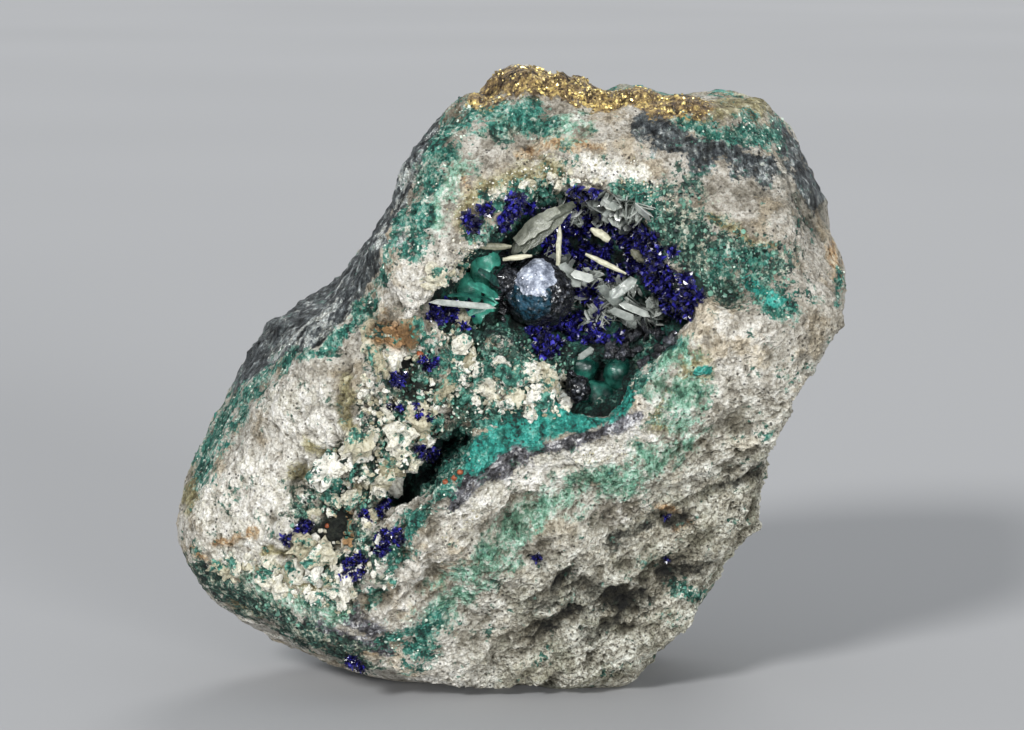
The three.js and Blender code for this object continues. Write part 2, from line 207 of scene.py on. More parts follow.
DARK_GREEN = [
    ([(-35.6, 14.2), (-31, 11.6), (-26.3, 9.4), (-21.5, 7), (-17, 5.2)], 2.4),
    ([(18.8, 57), (20.5, 52.8), (24.5, 51.6), (28.4, 51)], 3.2),
    ([(20.6, 49.4), (25, 48.6)], 1.6),
    ([(-4, 42.4), (-8.4, 40), (-11, 34), (-9, 30.6)], 2.0),
    ([(-12.6, 41), (-13.4, 36), (-13, 31.6), (-18, 27.6)], 2.2),
    ([(-20, 22), (-15.6, 19), (-20, 16.4)], 2.0),
    ([(-1, 41), (4, 40)], 2.6),
    ([(-4, 34.4), (0, 35.8), (5, 36.6)], 1.6),
    ([(-1, 65.8), (5, 66.6)], 1.0),
    ([(-12.6, 27.4), (-9.6, 30.4), (-6, 33.4)], 1.3),
    ([(-23.6, 23), (-21, 24.8), (-16, 25)], 1.4),
]
METAL = [
    ([(15.4, 66.6), (20.3, 64.4), (25.2, 63), (28.8, 61.8)], 1.7),
    (RIGHT_EDGE, 1.3),
]
FROST = [
    ([(-26.6, 42.4), (-23.2, 44.2), (-20.6, 45.4)], 2.4),
    ([(-13.8, 53), (-12.8, 57), (-11.4, 60.6)], 1.4),
]
WHITE = [
    ([(2.6, 29.6), (7.4, 30.1), (11.8, 31), (14.6, 32.4), (16.2, 34.6), (16.6, 36.6)], 1.9),
    ([(-4.4, 24.4), (-1.4, 26.4), (3.6, 28.2), (8, 28.6)], 2.2),
    ([(-34.6, 23), (-31, 19.6), (-28, 21)], 2.4),
    ([(-33, 17), (-29, 16.2), (-25.6, 17)], 1.5),
    ([(-27, 25), (-30, 28)], 2.0),
    ([(-5.4, 24), (-4, 21)], 1.5),
    ([(-3, 58.8), (1.2, 61), (5.7, 61.8), (10.1, 62), (14.6, 61)], 1.2),
    ([(-26, 22), (-22.6, 27), (-20, 32)], 2.4),
    ([(-26, 34.4), (-21, 35)], 2.2),
    ([(11.2, 23.4), (13.8, 24.4)], 1.4),
]
OLIVE = [
    ([(-18.4, 38.6), (-18.2, 33.4)], 0.8),
    ([(-22.8, 30.6), (-20.6, 30.2)], 0.9),
    ([(24.4, 68.2), (27.6, 68.8), (29, 67.4)], 1.4),
    ([(-5.4, 57), (-3, 59.6), (0.5, 60.8), (4.6, 61.4)], 1.3),
    ([(-37.2, 21.6), (-36.4, 25.4)], 0.9),
    ([(-24.4, 27.4), (-20, 27)], 0.8),
    ([(-26, 15.6), (-20, 14)], 1.0),
    ([(17.2, 33.8), (18.8, 37), (20.6, 40.4)], 1.7),
    ([(-34.6, 13.4), (-31.4, 10.4), (-28.6, 9)], 0.8),
    ([(-27.4, 17.4), (-24.6, 18.6)], 0.7),
    ([(22.4, 56.6), (26.4, 54.6), (29.6, 53)], 0.7),
]
OCHRE = [
    ([(-33.6, 18.5), (-31.6, 18.9)], 0.6),
    ([(-30.4, 19.5), (-29.2, 20.2)], 0.4),
    ([(-36.2, 17.4), (-35, 16.4)], 0.6),
    ([(-18.4, 7.2), (-15.4, 6.2)], 0.8),
    ([(-14, 44.2), (-11.4, 43.1)], 1.5),
    ([(-18.6, 22.4), (-18.2, 20)], 1.0),
    ([(-5.4, 61), (-4.4, 57.4)], 0.8),
    ([(1.3, 63.8), (5.8, 64.8), (10.2, 64)], 0.6),
    ([(36.7, 52), (37.4, 49.6)], 0.9),
    ([(17.6, 23.4), (20, 21.8)], 0.8),
]
# The dark metallic band that follows the lip from below.
BELOW_LIP = [(-6.6, 25.6), (-4.6, 27.9), (-2, 29.4), (1.4, 30.9), (4.1, 31.6), (7.6, 32.2),
             (11.2, 33.2), (13.8, 35)]
VIOLET_GREY = [
    (BELOW_LIP, 0.9),
    (BELOW_LIP[1:4], 2.0),
    ([(-22, 10), (-19.4, 8.6), (-14.8, 6.6)], 1.2),
    ([(-19.8, 12.4), (-15.4, 9.4)], 1.5),
]
GOLD = [
    ([(-2.8, 70.2), (-1.4, 70.9), (1.6, 71.8), (6, 70.8), (10.4, 70), (13.6, 69.8), (17, 69.2),
      (21.4, 69)], 1.7),
]
# Painted shade: dark grey patches in the slope's dents and under its ledges, where the rock is also
# sunk; the last stroke darkens the right edge.
DARK_DENTS_AND_EDGE = [
    ([(3.3, 8), (8.1, 11.7)], 0.7),
    ([(9.2, 8), (14.8, 12)], 0.9),
    ([(11.8, 19.5), (15.6, 21.6)], 0.7),
    ([(8.2, 14), (11.8, 13)], 1.5),
    ([(3.6, 12.4), (6.8, 16.4)], 1.1),
    ([(12.6, 12), (15.4, 12.8)], 1.0),
    ([(17, 22), (20, 22.8)], 0.8),
    ([(17.8, 14.4), (23, 17.2)], 0.9),
    ([(23, 25.5), (28.4, 27.4)], 0.7),
    (RIGHT_EDGE, 2.6),
]
# A band along the upper rim where the rock is made a little darker.
UPPER_RIM_BAND = [([(-5, 65), (5, 65.4), (15, 61.8), (25, 57), (33, 52), (37.4, 45)], 5.5)]
DRAWN_ZONES = [  # zone, strokes and the seed of its noise
    ("teal", TEAL, 0), ("verdigris", VERDIGRIS, 1), ("pale_green", PALE_GREEN, 2),
    ("dark_green", DARK_GREEN, 3), ("metal", METAL, 4), ("white", WHITE, 6), ("olive", OLIVE, 7),
    ("ochre", OCHRE, 8), ("violet_grey", VIOLET_GREY, 9), ("dent_shade_and_dark_edge", DARK_DENTS_AND_EDGE, 11),
]
TROUGH = [([(-7, 41), (-12, 36), (-14, 30), (-20, 22), (-15, 18)], 5.5)]
BEHIND_Y = 1.5  # behind this the strokes fade out and plain noise takes their place
RUBBLE_STROKES = [
    ([(-12.6, 42), (-7, 41.6)], 2.6),
    ([(-6, 40.4), (-1, 40), (3, 39)], 1.4),
    ([(-4.6, 38.6), (0, 37.4), (4.4, 37.4)], 2.2),
    ([(-10.4, 39.6), (-8, 36.6), (-8.6, 34.4)], 1.4),
    ([(-13.6, 37), (-12, 31.6), (-17, 28)], 3.2),
    ([(-19, 22), (-15.6, 19), (-21.4, 17)], 3.2),
    ([(-33, 16.6), (-28, 16), (-19, 13)], 1.3),
    ([(-8.2, 49.8), (-5.8, 50)], 0.9),
    ([(2, 59.6), (5.4, 60.2), (9, 60.2)], 0.7),
]
BLUE = [
    ([(6, 55), (9, 58)], 2.0),
    ([(6, 53.6), (10.4, 54.6), (15, 53)], 2.3),
    ([(10, 51.2), (12.6, 50.4)], 1.5),
    ([(16.2, 52), (17.8, 49.8), (20, 46.8)], 1.4),
    ([(9, 48.2), (10.6, 46)], 1.2),
    ([(5.8, 43.8), (8.1, 43.2), (11, 42.6)], 1.4),
    ([(3.4, 42.8), (4.2, 40.8)], 1.0),
    ([(-3.4, 57), (-1, 57), (1, 57.4)], 1.3),
]
BLUE_OUTSIDE = [
    ([(-8.2, 45.8), (-5, 44.8)], 0.9),
    ([(-14.4, 19.6), (-12.2, 21.4)], 0.75),
    ([(-18, 16.4), (-16.4, 17.8)], 0.6),
    ([(-13.3, 35.2), (-10.4, 36.2)], 0.45),
    ([(-12.9, 38.9), (-12.3, 38.4)], 0.45),
    ([(-9.9, 41), (-9, 40.4)], 0.5),
    ([(-9.6, 35.6), (-8.8, 33.8)], 0.5),
    ([(-24.8, 20), (-23.2, 21)], 0.6),
    ([(-15.9, 22.8), (-14.3, 23.3)], 0.5),
    ([(-9.8, 30.6), (-8.8, 30)], 0.5),
    ([(-17.8, 5.6), (-16.8, 5.2)], 0.5),
    ([(-5.1, 19.9)], 0.35),
    ([(3.1, 18.3)], 0.2),
    ([(17.6, 22.3)], 0.2),
    ([(18, 17.6)], 0.25),
]
DRUSE = [
    ([(-3, 59), (1.2, 60.8), (5.7, 61.6), (10.1, 61.8), (14.6, 61), (17, 59)], 1.4),
    ([(-5.6, 57), (-4.6, 53), (-6.6, 50)], 1.2),
    ([(-24, 17), (-21, 17.8), (-19.6, 16)], 1.8),
    ([(-26, 15), (-19, 13.4)], 1.2),
    ([(-4.6, 24), (-8, 19)], 0.9),
    ([(-8.2, 49.4), (-5.8, 50.4)], 1.1),
    ([(7.4, 29.9), (11.8, 30.9), (14.8, 32.8), (16.2, 35)], 0.7),
]
GREEN_GRAINS = [
    ([(18.6, 57.4), (20.5, 52.8), (24.5, 51.6), (28.4, 51)], 3.0),
    ([(20.6, 49.4), (25, 48.6)], 1.4),
    ([(-2.6, 43), (1, 40.4), (6, 39.6)], 2.0),
    ([(-4, 42.4), (-9, 39), (-11, 34)], 2.4),
    ([(-23.6, 23), (-21, 24.8), (-16, 25)], 1.2),
    ([(-3.4, 54.6), (-0.8, 55.4), (3, 58.6), (6, 59.2)], 0.9),
    ([(12.4, 60), (15, 59.2), (16.8, 57)], 0.9),
    ([(-13, 31), (-9, 34.6), (-6, 36.4)], 1.2),
    ([(-29, 11.6), (-24, 9.6)], 0.7),
]
# Eight large lumps of rubble: x, z and radius.
KNOBS = [(-21.3, 18.2, 1.5), (-17.6, 24.4, 1.2), (0.6, 39.6, 1.4), (3.4, 37.2, 1.2),
         (-5.6, 42, 1.1), (-14.6, 40.4, 1.3), (-13.4, 28.4, 1.3), (-13.6, 34.6, 1.2)]
ORANGE_BEADS = [(-20.7, 21.1), (-7, 27.7), (-5.4, 29), (-6, 28.3), (-19.5, 23.9), (-9.9, 41.5)]
BLACK_STROKES = [
    ([(12.4, 40.4), (14.6, 42), (17, 43.6)], 1.3),
    ([(7, 37.6), (8.6, 38)], 0.7),
    ([(-0.8, 50.6), (-0.9, 46)], 1.0),
]
TABLET_STROKES = [
    ([(5.6, 50), (7.6, 47)], 1.5),
    ([(9.6, 48), (12.4, 46.6), (16.4, 45.2)], 1.6),
    ([(9.4, 44.6), (14, 44)], 0.9),
    ([(8, 57.6), (13.6, 57)], 1.5),
]
# Start, end, width, thickness and facing; y is the depth, and the hollow's mouth is at -24.
TABLETS = [
    ((-9.0, -22.4, 47.6), (-1.4, -18.4, 46.4), 0.8, 0.3, (0.1, -0.8, 0.6)),
    ((11.2, -16.5, 47.2), (14.4, -16.0, 49.4), 1.3, 0.14, (0.2, -0.9, 0.6)),
    ((5.6, -15.0, 51.0), (8.2, -14.6, 48.4), 1.6, 0.14, (0.5, -0.9, 0.1)),
    ((7.0, -15.4, 50.0), (9.6, -15.2, 49.2), 1.2, 0.14, (0.2, -0.9, 0.7)),
    ((10.2, -14.8, 48.6), (12.6, -14.2, 46.0), 1.2, 0.14, (-0.3, -1, 0.2)),
    ((12.4, -15.6, 46.6), (16.0, -14.8, 45.0), 1.0, 0.14, (0.1, -0.8, 0.7)),
    ((11.4, -15.0, 45.8), (14.2, -14.8, 44.6), 1.0, 0.14, (0.1, -0.9, -0.3)),
    ((8.6, -14.2, 58.4), (12.2, -14.4, 56.4), 1.5, 0.14, (0.3, -1, 0.5)),
    ((10.8, -13.4, 60.2), (14.4, -14.4, 58.6), 1.2, 0.14, (0.1, -0.8, 0.9)),
    ((15.0, -17.5, 60.4), (17.8, -18.0, 57.6), 1.4, 0.14, (0.5, -1, 0.3)),
    ((4.6, -17.0, 34.9), (6.6, -17.2, 36.4), 0.9, 0.2, (0.2, -1, 0.4)),
    ((7.8, -15.5, 40.2), (9.6, -15.5, 41.4), 0.8, 0.2, (0.2, -1, 0.4)),
]
WING = [  # the broad pale plate over the dark ball, in layers
    ((1.4, -16.6, 52.6), (6.6, -15.8, 57.4), 2.4, 0.14, (-0.35, -0.8, 0.5), 0.3),
    ((0.8, -16.9, 53.6), (5.6, -16.2, 57.2), 2.0, 0.12, (-0.2, -0.9, 0.4), 0.2),
    ((2.8, -16.5, 55.4), (7.4, -15.8, 57.8), 1.2, 0.12, (-0.1, -0.7, 0.7), 0.2),
    ((0.4, -16.3, 52.2), (2.8, -16.4, 55.0), 1.5, 0.12, (-0.5, -0.8, 0.1), 0.2),
    ((2.2, -17.0, 53.0), (5.4, -16.6, 55.6), 1.1, 0.12, (-0.5, -0.8, 0.3), 0.2),
]
CREAM_LATHS = [
    ((5.7, -16.5, 55.6), (5.5, -17.0, 51.0), 0.6, 0.4, (0.3, -1, 0), 0.1),
    ((8.6, -16.4, 52.2), (13.2, -16.8, 50.0), 0.6, 0.5, (0.2, -1, 0.4), 0.1),
    ((9.2, -15.8, 55.0), (11.3, -15.8, 53.7), 0.9, 0.7, (0.1, -1, 0.4), 0.2),
    ((12.0, -15.8, 57.0), (14.0, -16.4, 58.9), 0.7, 0.6, (0.2, -1, 0.2), 0.1),
    ((13.8, -15.4, 52.6), (15.2, -15.4, 51.2), 1.0, 0.9, (0.2, -1, 0.2), 0.1),
    ((-3.7, -19.5, 53.4), (0.2, -18.0, 53.2), 0.8, 0.7, (0.1, -1, 0.5), 0.1),
    ((-0.7, -17.4, 51.7), (2.6, -17.2, 52.1), 0.6, 0.5, (0.1, -1, 0.5), 0.1),
]
MALACHITE_LEAVES = [
    ((-6.8, -20.8, 48.0), (-1.6, -17.6, 46.9), 0.9, 0.15, (0.1, -0.5, 0.9), 0.5),
    ((-4.6, -19.4, 49.2), (-1.2, -17.0, 47.4), 1.1, 0.15, (0.3, -0.8, 0.5), 0.3),
    ((-3.4, -18.2, 50.6), (-1.0, -16.4, 48.6), 1.0, 0.15, (0.5, -0.8, 0.3), 0.3),
    ((-4.6, -18.4, 45.6), (-2.0, -17.4, 46.6), 0.8, 0.15, (0.1, -0.9, 0.3), 0.2),
]
MALACHITE_DOMES = [  # centre, and half sizes in x, y and z
    ((-2.7, -13.8, 50.6), (1.7, 1.6, 2.8)),
    ((-4.6, -13.2, 47.4), (1.4, 1.3, 2.4)),
    ((-1.6, -12.8, 46.2), (1.3, 1.6, 2.2)),
    ((-3.2, -14.0, 44.9), (1.2, 1.1, 1.2)),
    ((10.0, -13.9, 35.6), (2.6, 1.8, 1.9)),
    ((12.6, -14.0, 38.2), (1.9, 1.8, 2.0)),
    ((8.2, -12.6, 38.6), (2.0, 1.6, 1.8)),
]
# Centre and radius; the first ball is the one with the pale painted highlight on its top.
DARK_BALLS = [((3.4, -13.6, 47.6), 4.1), ((-0.5, -15.2, 49.2), 1.7), ((7.8, -16.4, 36.8), 1.5)]

BUNCHES_INSIDE = 290  # bunches of blue blades in the hollow
BUNCHES_OUTSIDE = 260
BIG_LUMPS = 268  # lumps of rubble besides the KNOBS
SMALL_LUMPS = 1300
TABLET_FANS = (90, 5)  # fans of small tablets, and tablets in each
BLACK_GRAINS = 160

# ---- Meshes ----


def new_object(name, data):
    made = bpy.data.objects.new(name, data)
    bpy.context.scene.collection.objects.link(made)
    return made


def add_piece(name, points, faces, material, smooth=False, attributes=None):
    """A mesh piece from points in millimetres; each attribute has one number for each point."""
    mesh = bpy.data.meshes.new(name)
    mesh.vertices.add(len(points))
    mesh.vertices.foreach_set("co", (np.asarray(points) * MM).astype(np.float32).ravel())
    counts = np.array([len(face) for face in faces])
    starts = np.concatenate([[0], np.cumsum(counts)[:-1]])
    mesh.loops.add(int(counts.sum()))
    mesh.loops.foreach_set("vertex_index", np.concatenate(faces).astype(np.int32))
    mesh.polygons.add(len(counts))
    mesh.polygons.foreach_set("loop_start", starts.astype(np.int32))
    mesh.polygons.foreach_set("use_smooth", np.full(len(counts), smooth))
    mesh.update(calc_edges=True)
    mesh.validate()
    for key, values in (attributes or {}).items():
        layer = mesh.attributes.new(key, "FLOAT", "POINT")
        layer.data.foreach_set("value", np.asarray(values, np.float32))
    mesh.materials.append(material)
    piece = new_object(name, mesh)
    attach(piece, "root")
    return piece


def taken_apart(work):
    """The points and faces of a bmesh, which is then freed."""
    points = np.array([vertex.co[:] for vertex in work.verts])
    faces = [[vertex.index for vertex in face.verts] for face in work.faces]
    work.free()
    return points, faces


def ball_template(splits):
    """A ball of radius 1: points and triangles."""
    work = bmesh.new()
    bmesh.ops.create_icosphere(work, subdivisions=splits, radius=1)
    points, faces = taken_apart(work)
    return points, np.array(faces)


def spear_template():
    """A flat blade of length 1 along +Z, widest past its middle and pointed at the end."""
    rings = [(0.0, 0.5), (0.62, 1.0)]
    points = [(x * wide / 2, y * wide / 2, z) for z, wide in rings
              for x, y in ((1, 0), (0, 1), (-1, 0), (0, -1))]
    points.append((0, 0, 1))
    sides = [(k, (k + 1) % 4, 4 + (k + 1) % 4) for k in range(4)]
    sides += [(k, 4 + (k + 1) % 4, 4 + k) for k in range(4)]
    tips = [(4 + k, 4 + (k + 1) % 4, 8) for k in range(4)]
    return np.array(points), np.array(sides + tips)


def tablet_template():
    """A flat six-sided crystal, 1 in length, width and thickness, bevelled to its edge."""
    outline = [(-0.5, -0.2), (-0.3, -0.5), (0.32, -0.5), (0.5, -0.12), (0.4, 0.5), (-0.36, 0.46)]
    count = len(outline)
    points = [(x, y, 0) for x, y in outline]
    faces = []
    for height in (0.5, -0.5):
        base = len(points)
        points += [(0.84 * x, 0.84 * y, height) for x, y in outline]
        faces += [(base, base + k, base + k + 1) for k in range(1, count - 1)]
        for k in range(count):
            after = (k + 1) % count
            faces += [(k, after, base + after), (k, base + after, base + k)]
    return np.array(points), np.array(faces)


def turned_frames(ways, spins):
    """3x3 frames whose last row is each way, turned about it by each spin."""
    ways = unit(ways)
    helper = np.where(np.abs(ways[:, 2:3]) < 0.9, [[0.0, 0, 1]], [[1.0, 0, 0]])
    side = unit(np.cross(helper, ways))
    other = np.cross(ways, side)
    cosine, sine = np.cos(spins)[:, None], np.sin(spins)[:, None]
    return np.stack([cosine * side + sine * other, cosine * other - sine * side, ways], axis=1)


def scattered(template, places, frames, sizes):
    """Many copies of a template in one mesh: points, triangles, and each point's copy number."""
    points, faces = template
    copies = (points[None] * sizes[:, None]) @ frames + places[:, None]
    shifts = np.arange(len(places)) * len(points)
    joined_faces = faces[None] + shifts[:, None, None]
    owner = np.repeat(np.arange(len(places)), len(points))
    return copies.reshape(-1, 3), joined_faces.reshape(-1, faces.shape[1]), owner


def joined(meshes):
    """One (points, faces) of several."""
    shifts = np.cumsum([0] + [len(points) for points, _ in meshes[:-1]])
    faces = [face + shift for (_, part), shift in zip(meshes, shifts) for face in part]
    return np.concatenate([points for points, _ in meshes]), faces


# ---- Materials ----


def srgb(red, green, blue):
    """A linear colour from 0-255 screen values."""
    values = np.array([red, green, blue]) / 255
    linear = np.where(values <= 0.04045, values / 12.92, ((values + 0.055) / 1.055) ** 2.4)
    return (*linear, 1.0)


class Look:
    """A node material under way: each method adds a node and gives its output."""

    def __init__(self, name):
        self.material = bpy.data.materials.new(name)
        self.material.use_nodes = True
        self.tree = self.material.node_tree
        self.shader = self.tree.nodes["Principled BSDF"]
        self.where = self.tree.nodes.new("ShaderNodeTexCoord").outputs["Object"]

    def put(self, socket, value):
        if isinstance(value, bpy.types.NodeSocket):
            self.tree.links.new(value, socket)
        else:
            socket.default_value = value

    def node(self, kind, **inputs):
        made = self.tree.nodes.new(kind)
        for key, value in inputs.items():
            self.put(made.inputs[key], value)
        return made

    def set(self, key, value):
        self.put(self.shader.inputs[key], value)

    def noise(self, size, detail=4.0, roughness=0.6, where=None):
        """Noise from 0 to 1 with lumps `size` millimetres across."""
        return self.node("ShaderNodeTexNoise", Scale=1 / (size * MM), Detail=detail,
                         Roughness=roughness, Vector=where or self.where).outputs["Fac"]

    def cells(self, size, output="Distance"):
        return self.node("ShaderNodeTexVoronoi", Scale=1 / (size * MM),
                         Vector=self.where).outputs[output]

    def stretched(self, factors):
        return self.node("ShaderNodeMapping", Scale=factors, Vector=self.where).outputs["Vector"]

    def attribute(self, name):
        made = self.tree.nodes.new("ShaderNodeAttribute")
        made.attribute_name = name
        return made.outputs["Fac"]

    def math(self, operation, *values):
        made = self.tree.nodes.new("ShaderNodeMath")
        made.operation = operation
        for socket, value in zip(made.inputs, values):
            self.put(socket, value)
        return made.outputs[0]

    def between(self, value, low, high, to_low=0.0, to_high=1.0):
        """`value` moved smoothly from low..high to to_low..to_high, and held there."""
        made = self.tree.nodes.new("ShaderNodeMapRange")
        made.interpolation_type = "SMOOTHSTEP"
        for socket, entry in zip(made.inputs, (value, low, high, to_low, to_high)):
            self.put(socket, entry)
        return made.outputs[0]

    def ramp(self, factor, stops):
        """Colours along `factor`: [(position, (red, green, blue)), ...]."""
        made = self.node("ShaderNodeValToRGB", Fac=factor)
        elements = made.color_ramp.elements
        while len(elements) < len(stops):
            elements.new(0.5)
        for element, (position, colour) in zip(elements, stops):
            element.position = position
            element.color = srgb(*colour)
        return made.outputs["Color"]

    def mix(self, factor, first, second, blend="MIX"):
        made = self.tree.nodes.new("ShaderNodeMix")
        made.data_type = "RGBA"
        made.blend_type = blend
        self.put(made.inputs[0], factor)
        self.put(made.inputs[6], first)
        self.put(made.inputs[7], second)
        return made.outputs[2]

    def bump(self, height, distance, strength=1.0, after=None):
        made = self.node("ShaderNodeBump", Strength=strength, Distance=distance * MM, Height=height)
        if after is not None:
            self.put(made.inputs["Normal"], after)
        return made.outputs["Normal"]


ROCK_COATS = {  # zone: how patchy, softness of its edge, and its own colours
    "white": (0.7, 0.2, [(0.3, (182, 178, 162)), (0.44, (232, 229, 217)), (0.56, (250, 248, 242))]),
    "ochre": (1.6, 0.3, [(0.32, (108, 80, 54)), (0.46, (184, 152, 112)), (0.6, (226, 212, 186))]),
    "olive": (1.2, 0.25, [(0.3, (84, 76, 50)), (0.48, (160, 152, 112)), (0.64, (214, 208, 176))]),
    "violet_grey": (0.7, 0.12, [(0.38, (42, 41, 45)), (0.48, (104, 104, 110)), (0.56, (146, 146, 151)),
                                (0.62, (238, 238, 240))]),
    "pale_green": (1.7, 0.22, [(0.34, (50, 88, 70)), (0.44, (112, 166, 140)),
                               (0.54, (166, 204, 184)), (0.64, (232, 236, 226))]),
    "dark_green": (1.9, 0.12, [(0.36, (12, 20, 20)), (0.45, (34, 66, 58)), (0.54, (74, 112, 98)),
                               (0.63, (206, 208, 190))]),
    # painted shade in the slope's dents; also a darker right edge
    "dent_shade_and_dark_edge": (1.8, 0.3, [(0.36, (34, 34, 30)), (0.5, (88, 88, 78)), (0.64, (150, 150, 138))]),
    "hollow": (0.5, 0.1, [(0.36, (8, 13, 13)), (0.5, (18, 50, 46)), (0.62, (36, 94, 82)),
                          (0.72, (84, 138, 122))]),
    "metal": (1.0, 0.08, [(0.34, (24, 26, 28)), (0.46, (68, 73, 76)), (0.57, (116, 123, 124)),
                          (0.67, (220, 224, 222))]),
    "frost": (0.9, 0.08, [(0.36, (84, 92, 94)), (0.46, (176, 184, 182)), (0.58, (236, 240, 236))]),
    "verdigris": (1.8, 0.14, [(0.34, (10, 34, 32)), (0.43, (22, 84, 74)), (0.52, (66, 140, 124)),
                              (0.6, (146, 182, 168)), (0.66, (222, 224, 212))]),
    "teal": (0.5, 0.09, [(0.34, (8, 40, 38)), (0.42, (18, 108, 98)), (0.53, (46, 156, 142)),
                         (0.62, (94, 188, 174)), (0.74, (190, 226, 216))]),
    # painted shade: near black between the rubble in the trough
    "gap": (1.2, 0.25, [(0.3, (10, 14, 13)), (0.5, (38, 48, 43)), (0.7, (92, 98, 86))]),
    "gold": (0.7, 0.08, [(0.36, (52, 42, 34)), (0.45, (116, 98, 76)), (0.55, (182, 156, 108)),
                         (0.66, (246, 220, 146))]),
}


def bare_rock(look, slope, grain_shade):
    """The rock's own colour: off-white grains, with dirt, tan, and grey stains on its slope."""
    tone = look.math("MULTIPLY_ADD", grain_shade, 0.16, look.noise(2.6, detail=6.0, roughness=0.7))
    colour = look.ramp(tone, [(0.4, (160, 155, 143)), (0.52, (210, 206, 196)),
                              (0.62, (236, 233, 225)), (0.74, (247, 246, 241))])
    dirty = look.between(look.noise(7.0, detail=8.0, roughness=0.65), 0.5, 0.6, 0.0, 0.6)
    colour = look.mix(dirty, colour, srgb(214, 211, 204), "MULTIPLY")
    tan = look.between(look.noise(5.0, detail=7.0, roughness=0.65), 0.5, 0.62, 0.0, 0.9)
    tan = look.math("MULTIPLY", tan, look.math("SUBTRACT", 1.0, look.math("MULTIPLY", slope, 0.75)))
    colour = look.mix(tan, colour, srgb(240, 230, 213), "MULTIPLY")
    # A little darker along the upper rim.
    colour = look.mix(look.attribute("upper_rim_darkening"), colour, srgb(226, 224, 221), "MULTIPLY")
    colour = look.mix(slope, colour, srgb(244, 247, 243), "MULTIPLY")
    stain = look.between(look.noise(3.6, detail=6.0, roughness=0.7), 0.46, 0.62)
    return look.mix(look.math("MULTIPLY", slope, stain), colour, srgb(216, 218, 210), "MULTIPLY")


def coated(look, colour, grain_shade):
    """`colour` with the mineral coats laid over it in turn, and how far each one covers it."""
    patches = look.noise(2.6, detail=9.0, roughness=0.7)
    speckle = look.math("MULTIPLY_ADD", grain_shade, 0.12, look.math("SUBTRACT", patches, 0.56))
    own = look.noise(1.7, detail=8.0, roughness=0.72, where=look.stretched((1.2, 1, 0.7)))
    own = look.math("MULTIPLY_ADD", grain_shade, 0.16, look.math("SUBTRACT", own, 0.08))
    streaks = look.noise(0.9, detail=6.0, roughness=0.7, where=look.stretched((1.2, 1.2, 0.42)))
    streaks = look.math("MULTIPLY_ADD", look.math("SUBTRACT", patches, 0.5), 0.6, streaks)
    textures = {"metal": streaks, "frost": streaks}
    cover = {}
    for zone, (patchy, edge, stops) in ROCK_COATS.items():
        reach = look.math("MULTIPLY_ADD", speckle, 2 * patchy, look.attribute(zone))
        cover[zone] = look.between(reach, 0.5 - edge, 0.5 + edge)
        colour = look.mix(cover[zone], colour, look.ramp(textures.get(zone, own), stops))
    return colour, cover


def with_painted_shade(look, colour, slope, rugged, fine, pinhole):
    """`colour` with painted shade in dents, between crumbs, in crevices and in pinholes, and a little
    in every sunken place.
    """
    # Painted shade: where the rugged bump is low, the colour is darker.
    dents = look.ramp(rugged, [(0.36, (134, 129, 118)), (0.45, (226, 223, 217)),
                               (0.53, (255, 255, 255))])
    colour = look.mix(0.7, colour, dents, "MULTIPLY")
    # Painted shade between crumbs, where the fine bump is low; stronger on the slope.
    crumbs = look.ramp(look.math("MULTIPLY_ADD", slope, -0.03, fine),
                       [(0.34, (96, 90, 80)), (0.44, (214, 210, 204)), (0.52, (255, 255, 255))])
    colour = look.mix(look.math("MULTIPLY_ADD", slope, 0.3, 0.65), colour, crumbs, "MULTIPLY")
    relief = look.attribute("relief")
    # Painted shade where the relief is sunk, and more in the slope's crevices.
    sunk = look.ramp(look.between(relief, -0.6, 0.1), [(0, (160, 156, 146)), (1, (255, 255, 255))])
    colour = look.mix(0.9, colour, sunk, "MULTIPLY")
    crevice_shade = look.math("MULTIPLY", slope, look.between(relief, -0.3, -0.9))
    colour = look.mix(crevice_shade, colour, srgb(136, 134, 126), "MULTIPLY")
    # Painted shade: the pinholes are coloured near black.
    return look.mix(look.math("MULTIPLY", pinhole, 0.85), colour, srgb(34, 32, 27))


def rock_look():
    """Grainy rock whose coats are laid over each other, each with a speckled edge."""
    look = Look("rock")
    slope = look.attribute("shade")
    grain_shade = look.node("ShaderNodeSeparateColor", Color=look.cells(0.34, "Color")).outputs[0]
    fine = look.noise(0.4, detail=5.0, roughness=0.75)
    rugged = look.noise(1.5, detail=8.0, roughness=0.66)
    pinhole = look.between(look.cells(0.8), 0.24, 0.14)
    pinhole = look.math("MULTIPLY", pinhole, look.between(look.noise(3.0, detail=5.0), 0.42, 0.54))
    colour, cover = coated(look, bare_rock(look, slope, grain_shade), grain_shade)
    # The colour gets painted shade in the rock's dents, sunken places, crevices and pinholes.
    look.set("Base Color", with_painted_shade(look, colour, slope, rugged, fine, pinhole))
    shiny = look.math("MAXIMUM", cover["metal"], cover["gold"])
    green = look.math("MAXIMUM", look.math("MAXIMUM", cover["teal"], cover["hollow"]), cover["frost"])
    look.set("Metallic", look.math("MULTIPLY", shiny, 0.45))
    rough = look.math("MULTIPLY_ADD", shiny, -0.42, 0.86)
    look.set("Roughness", look.math("MULTIPLY_ADD", green, -0.28, rough))
    look.set("Specular IOR Level", 0.4)
    bumps = look.bump(fine, 0.4, 0.9, look.bump(rugged, 1.1, 0.8))
    bumps = look.bump(look.cells(0.34), 0.25, 0.6, bumps)
    look.set("Normal", look.bump(pinhole, 0.4, -0.8, bumps))
    return look.material


